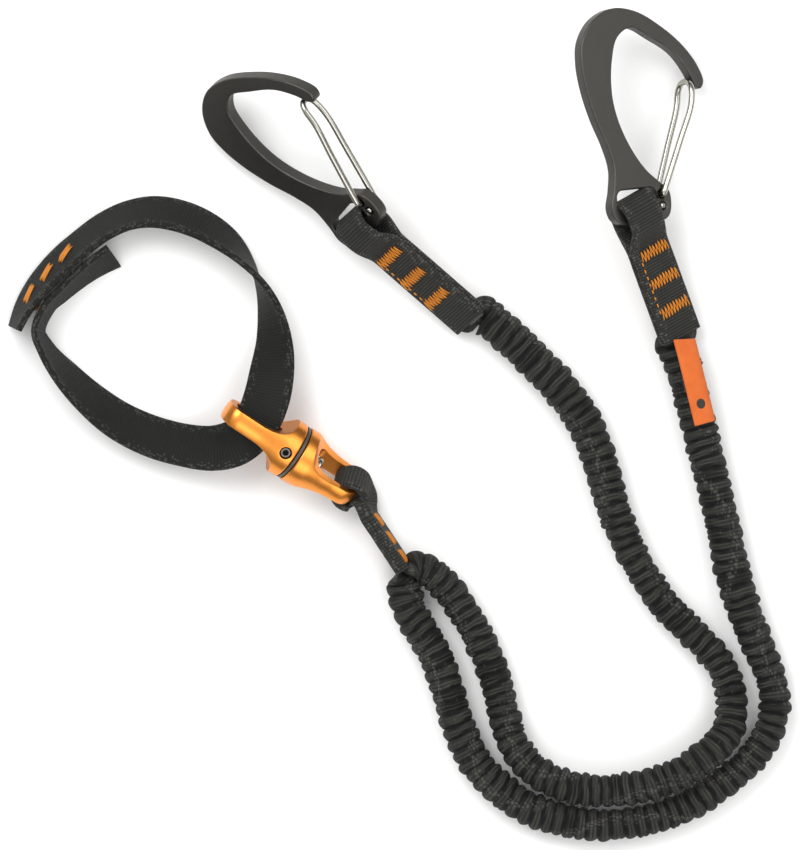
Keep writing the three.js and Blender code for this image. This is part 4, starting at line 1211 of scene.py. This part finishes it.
def leanWay(way, degrees):
    # from the strap's upper edge to its lower edge
    outward = unit(np.stack([-way[..., 1], way[..., 0], 0 * way[..., 0]], axis=-1))
    angle = np.radians(degrees)[..., None]
    return outward * np.sin(angle) - np.cos(angle) * np.array([0, 0, 1.0])


def makeLoop():
    stations = [(*(Vector(s[:3]) + benchShift), s[3] * mm) for s in harnessLoop["stations"]]
    outer = smoothLine(stations, 0.2 * mm)
    way = unit(np.gradient(outer[:, :3], axis=0))
    inner = []
    for distance, lean in harnessLoop["innerLap"]:
        i = round(distance * mm / (0.2 * mm))
        across, under = leanWay(way[i], outer[i, 3] / mm), leanWay(way[i], lean)
        inward = unit(np.cross(across, way[i]))
        edge = outer[i, :3] + inward * 2 * layUp - across * webbing["width"] / 2
        inner.append((*(edge + under * webbing["width"] / 2), lean * mm))
    line = smoothLine(stations + inner, 0.2 * mm)
    way = unit(np.gradient(line[:, :3], axis=0))
    piece = makeStrap("harness_loop", line[:, :3], leanWay(way, line[:, 3] / mm), material=loopCloth)
    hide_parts("harness_loop_webbing")
    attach(piece, "harness_loop")
    makeTacks("harness_loop", "harness_loop", (-1, 1, 0), (1, 1, 0), loopTack)


makeLoop()
print("webbing loop ready")


# ---- table, light and world ----
studio = {
    "table": (0.92, 0.92, 0.915),
    "lamps": [
        ("key", (-0.7, 0.9, 1.5), 1.1, 20.0), ("fill", (1.0, 0.4, 1.3), 1.2, 9.0), ("front", (0.1, -1.1, 1.2), 1.0, 7.0),
    ],
    "sky": (0.05, 0.95), "horizon": (0.1, 0.8),
}


def makeStudio():
    low, high = cadBox
    middle = (low + high) / 2
    mesh = bpy.data.meshes.new("table")
    reach = 3.0
    mesh.from_pydata([(x * reach + middle.x, y * reach + middle.y, 0) for x, y in ((-1, -1), (1, -1), (1, 1), (-1, 1))],
                     [], [(0, 1, 2, 3)])
    table = bpy.data.objects.new("table", mesh)
    table.location.z = min(0.0, low.z)
    bpy.context.scene.collection.objects.link(table)
    paint = Paint("table", Roughness=0.7, Specular_IOR_Level=0.2)
    paint.give(Base_Color=(*studio["table"], 1.0))
    mesh.materials.append(paint.material)
    for name, place, size, power in studio["lamps"]:
        light = bpy.data.lights.new(name, "AREA")
        light.shape, light.size, light.energy = "SQUARE", size, power
        lamp = bpy.data.objects.new(name, light)
        lamp.location = Vector(place) + middle
        lamp.rotation_euler = (-Vector(place)).to_track_quat("-Z", "Y").to_euler()
        bpy.context.scene.collection.objects.link(lamp)
    world = bpy.data.worlds.new("studio")
    world.use_nodes = True
    nodes, links = world.node_tree.nodes, world.node_tree.links
    direction, height = nodes.new("ShaderNodeTexCoord"), nodes.new("ShaderNodeSeparateXYZ")
    rise = nodes.new("ShaderNodeMapRange")
    rise.inputs["From Min"].default_value, rise.inputs["From Max"].default_value = studio["horizon"]
    rise.inputs["To Min"].default_value, rise.inputs["To Max"].default_value = studio["sky"]
    links.new(direction.outputs["Generated"], height.inputs[0])
    links.new(height.outputs["Z"], rise.inputs["Value"])
    links.new(rise.outputs[0], nodes["Background"].inputs["Strength"])
    nodes["Background"].inputs["Color"].default_value = (1, 1, 1, 1)
    bpy.context.scene.world = world
    bpy.context.scene.view_settings.view_transform = "Standard"


makeStudio()
print("studio ready")
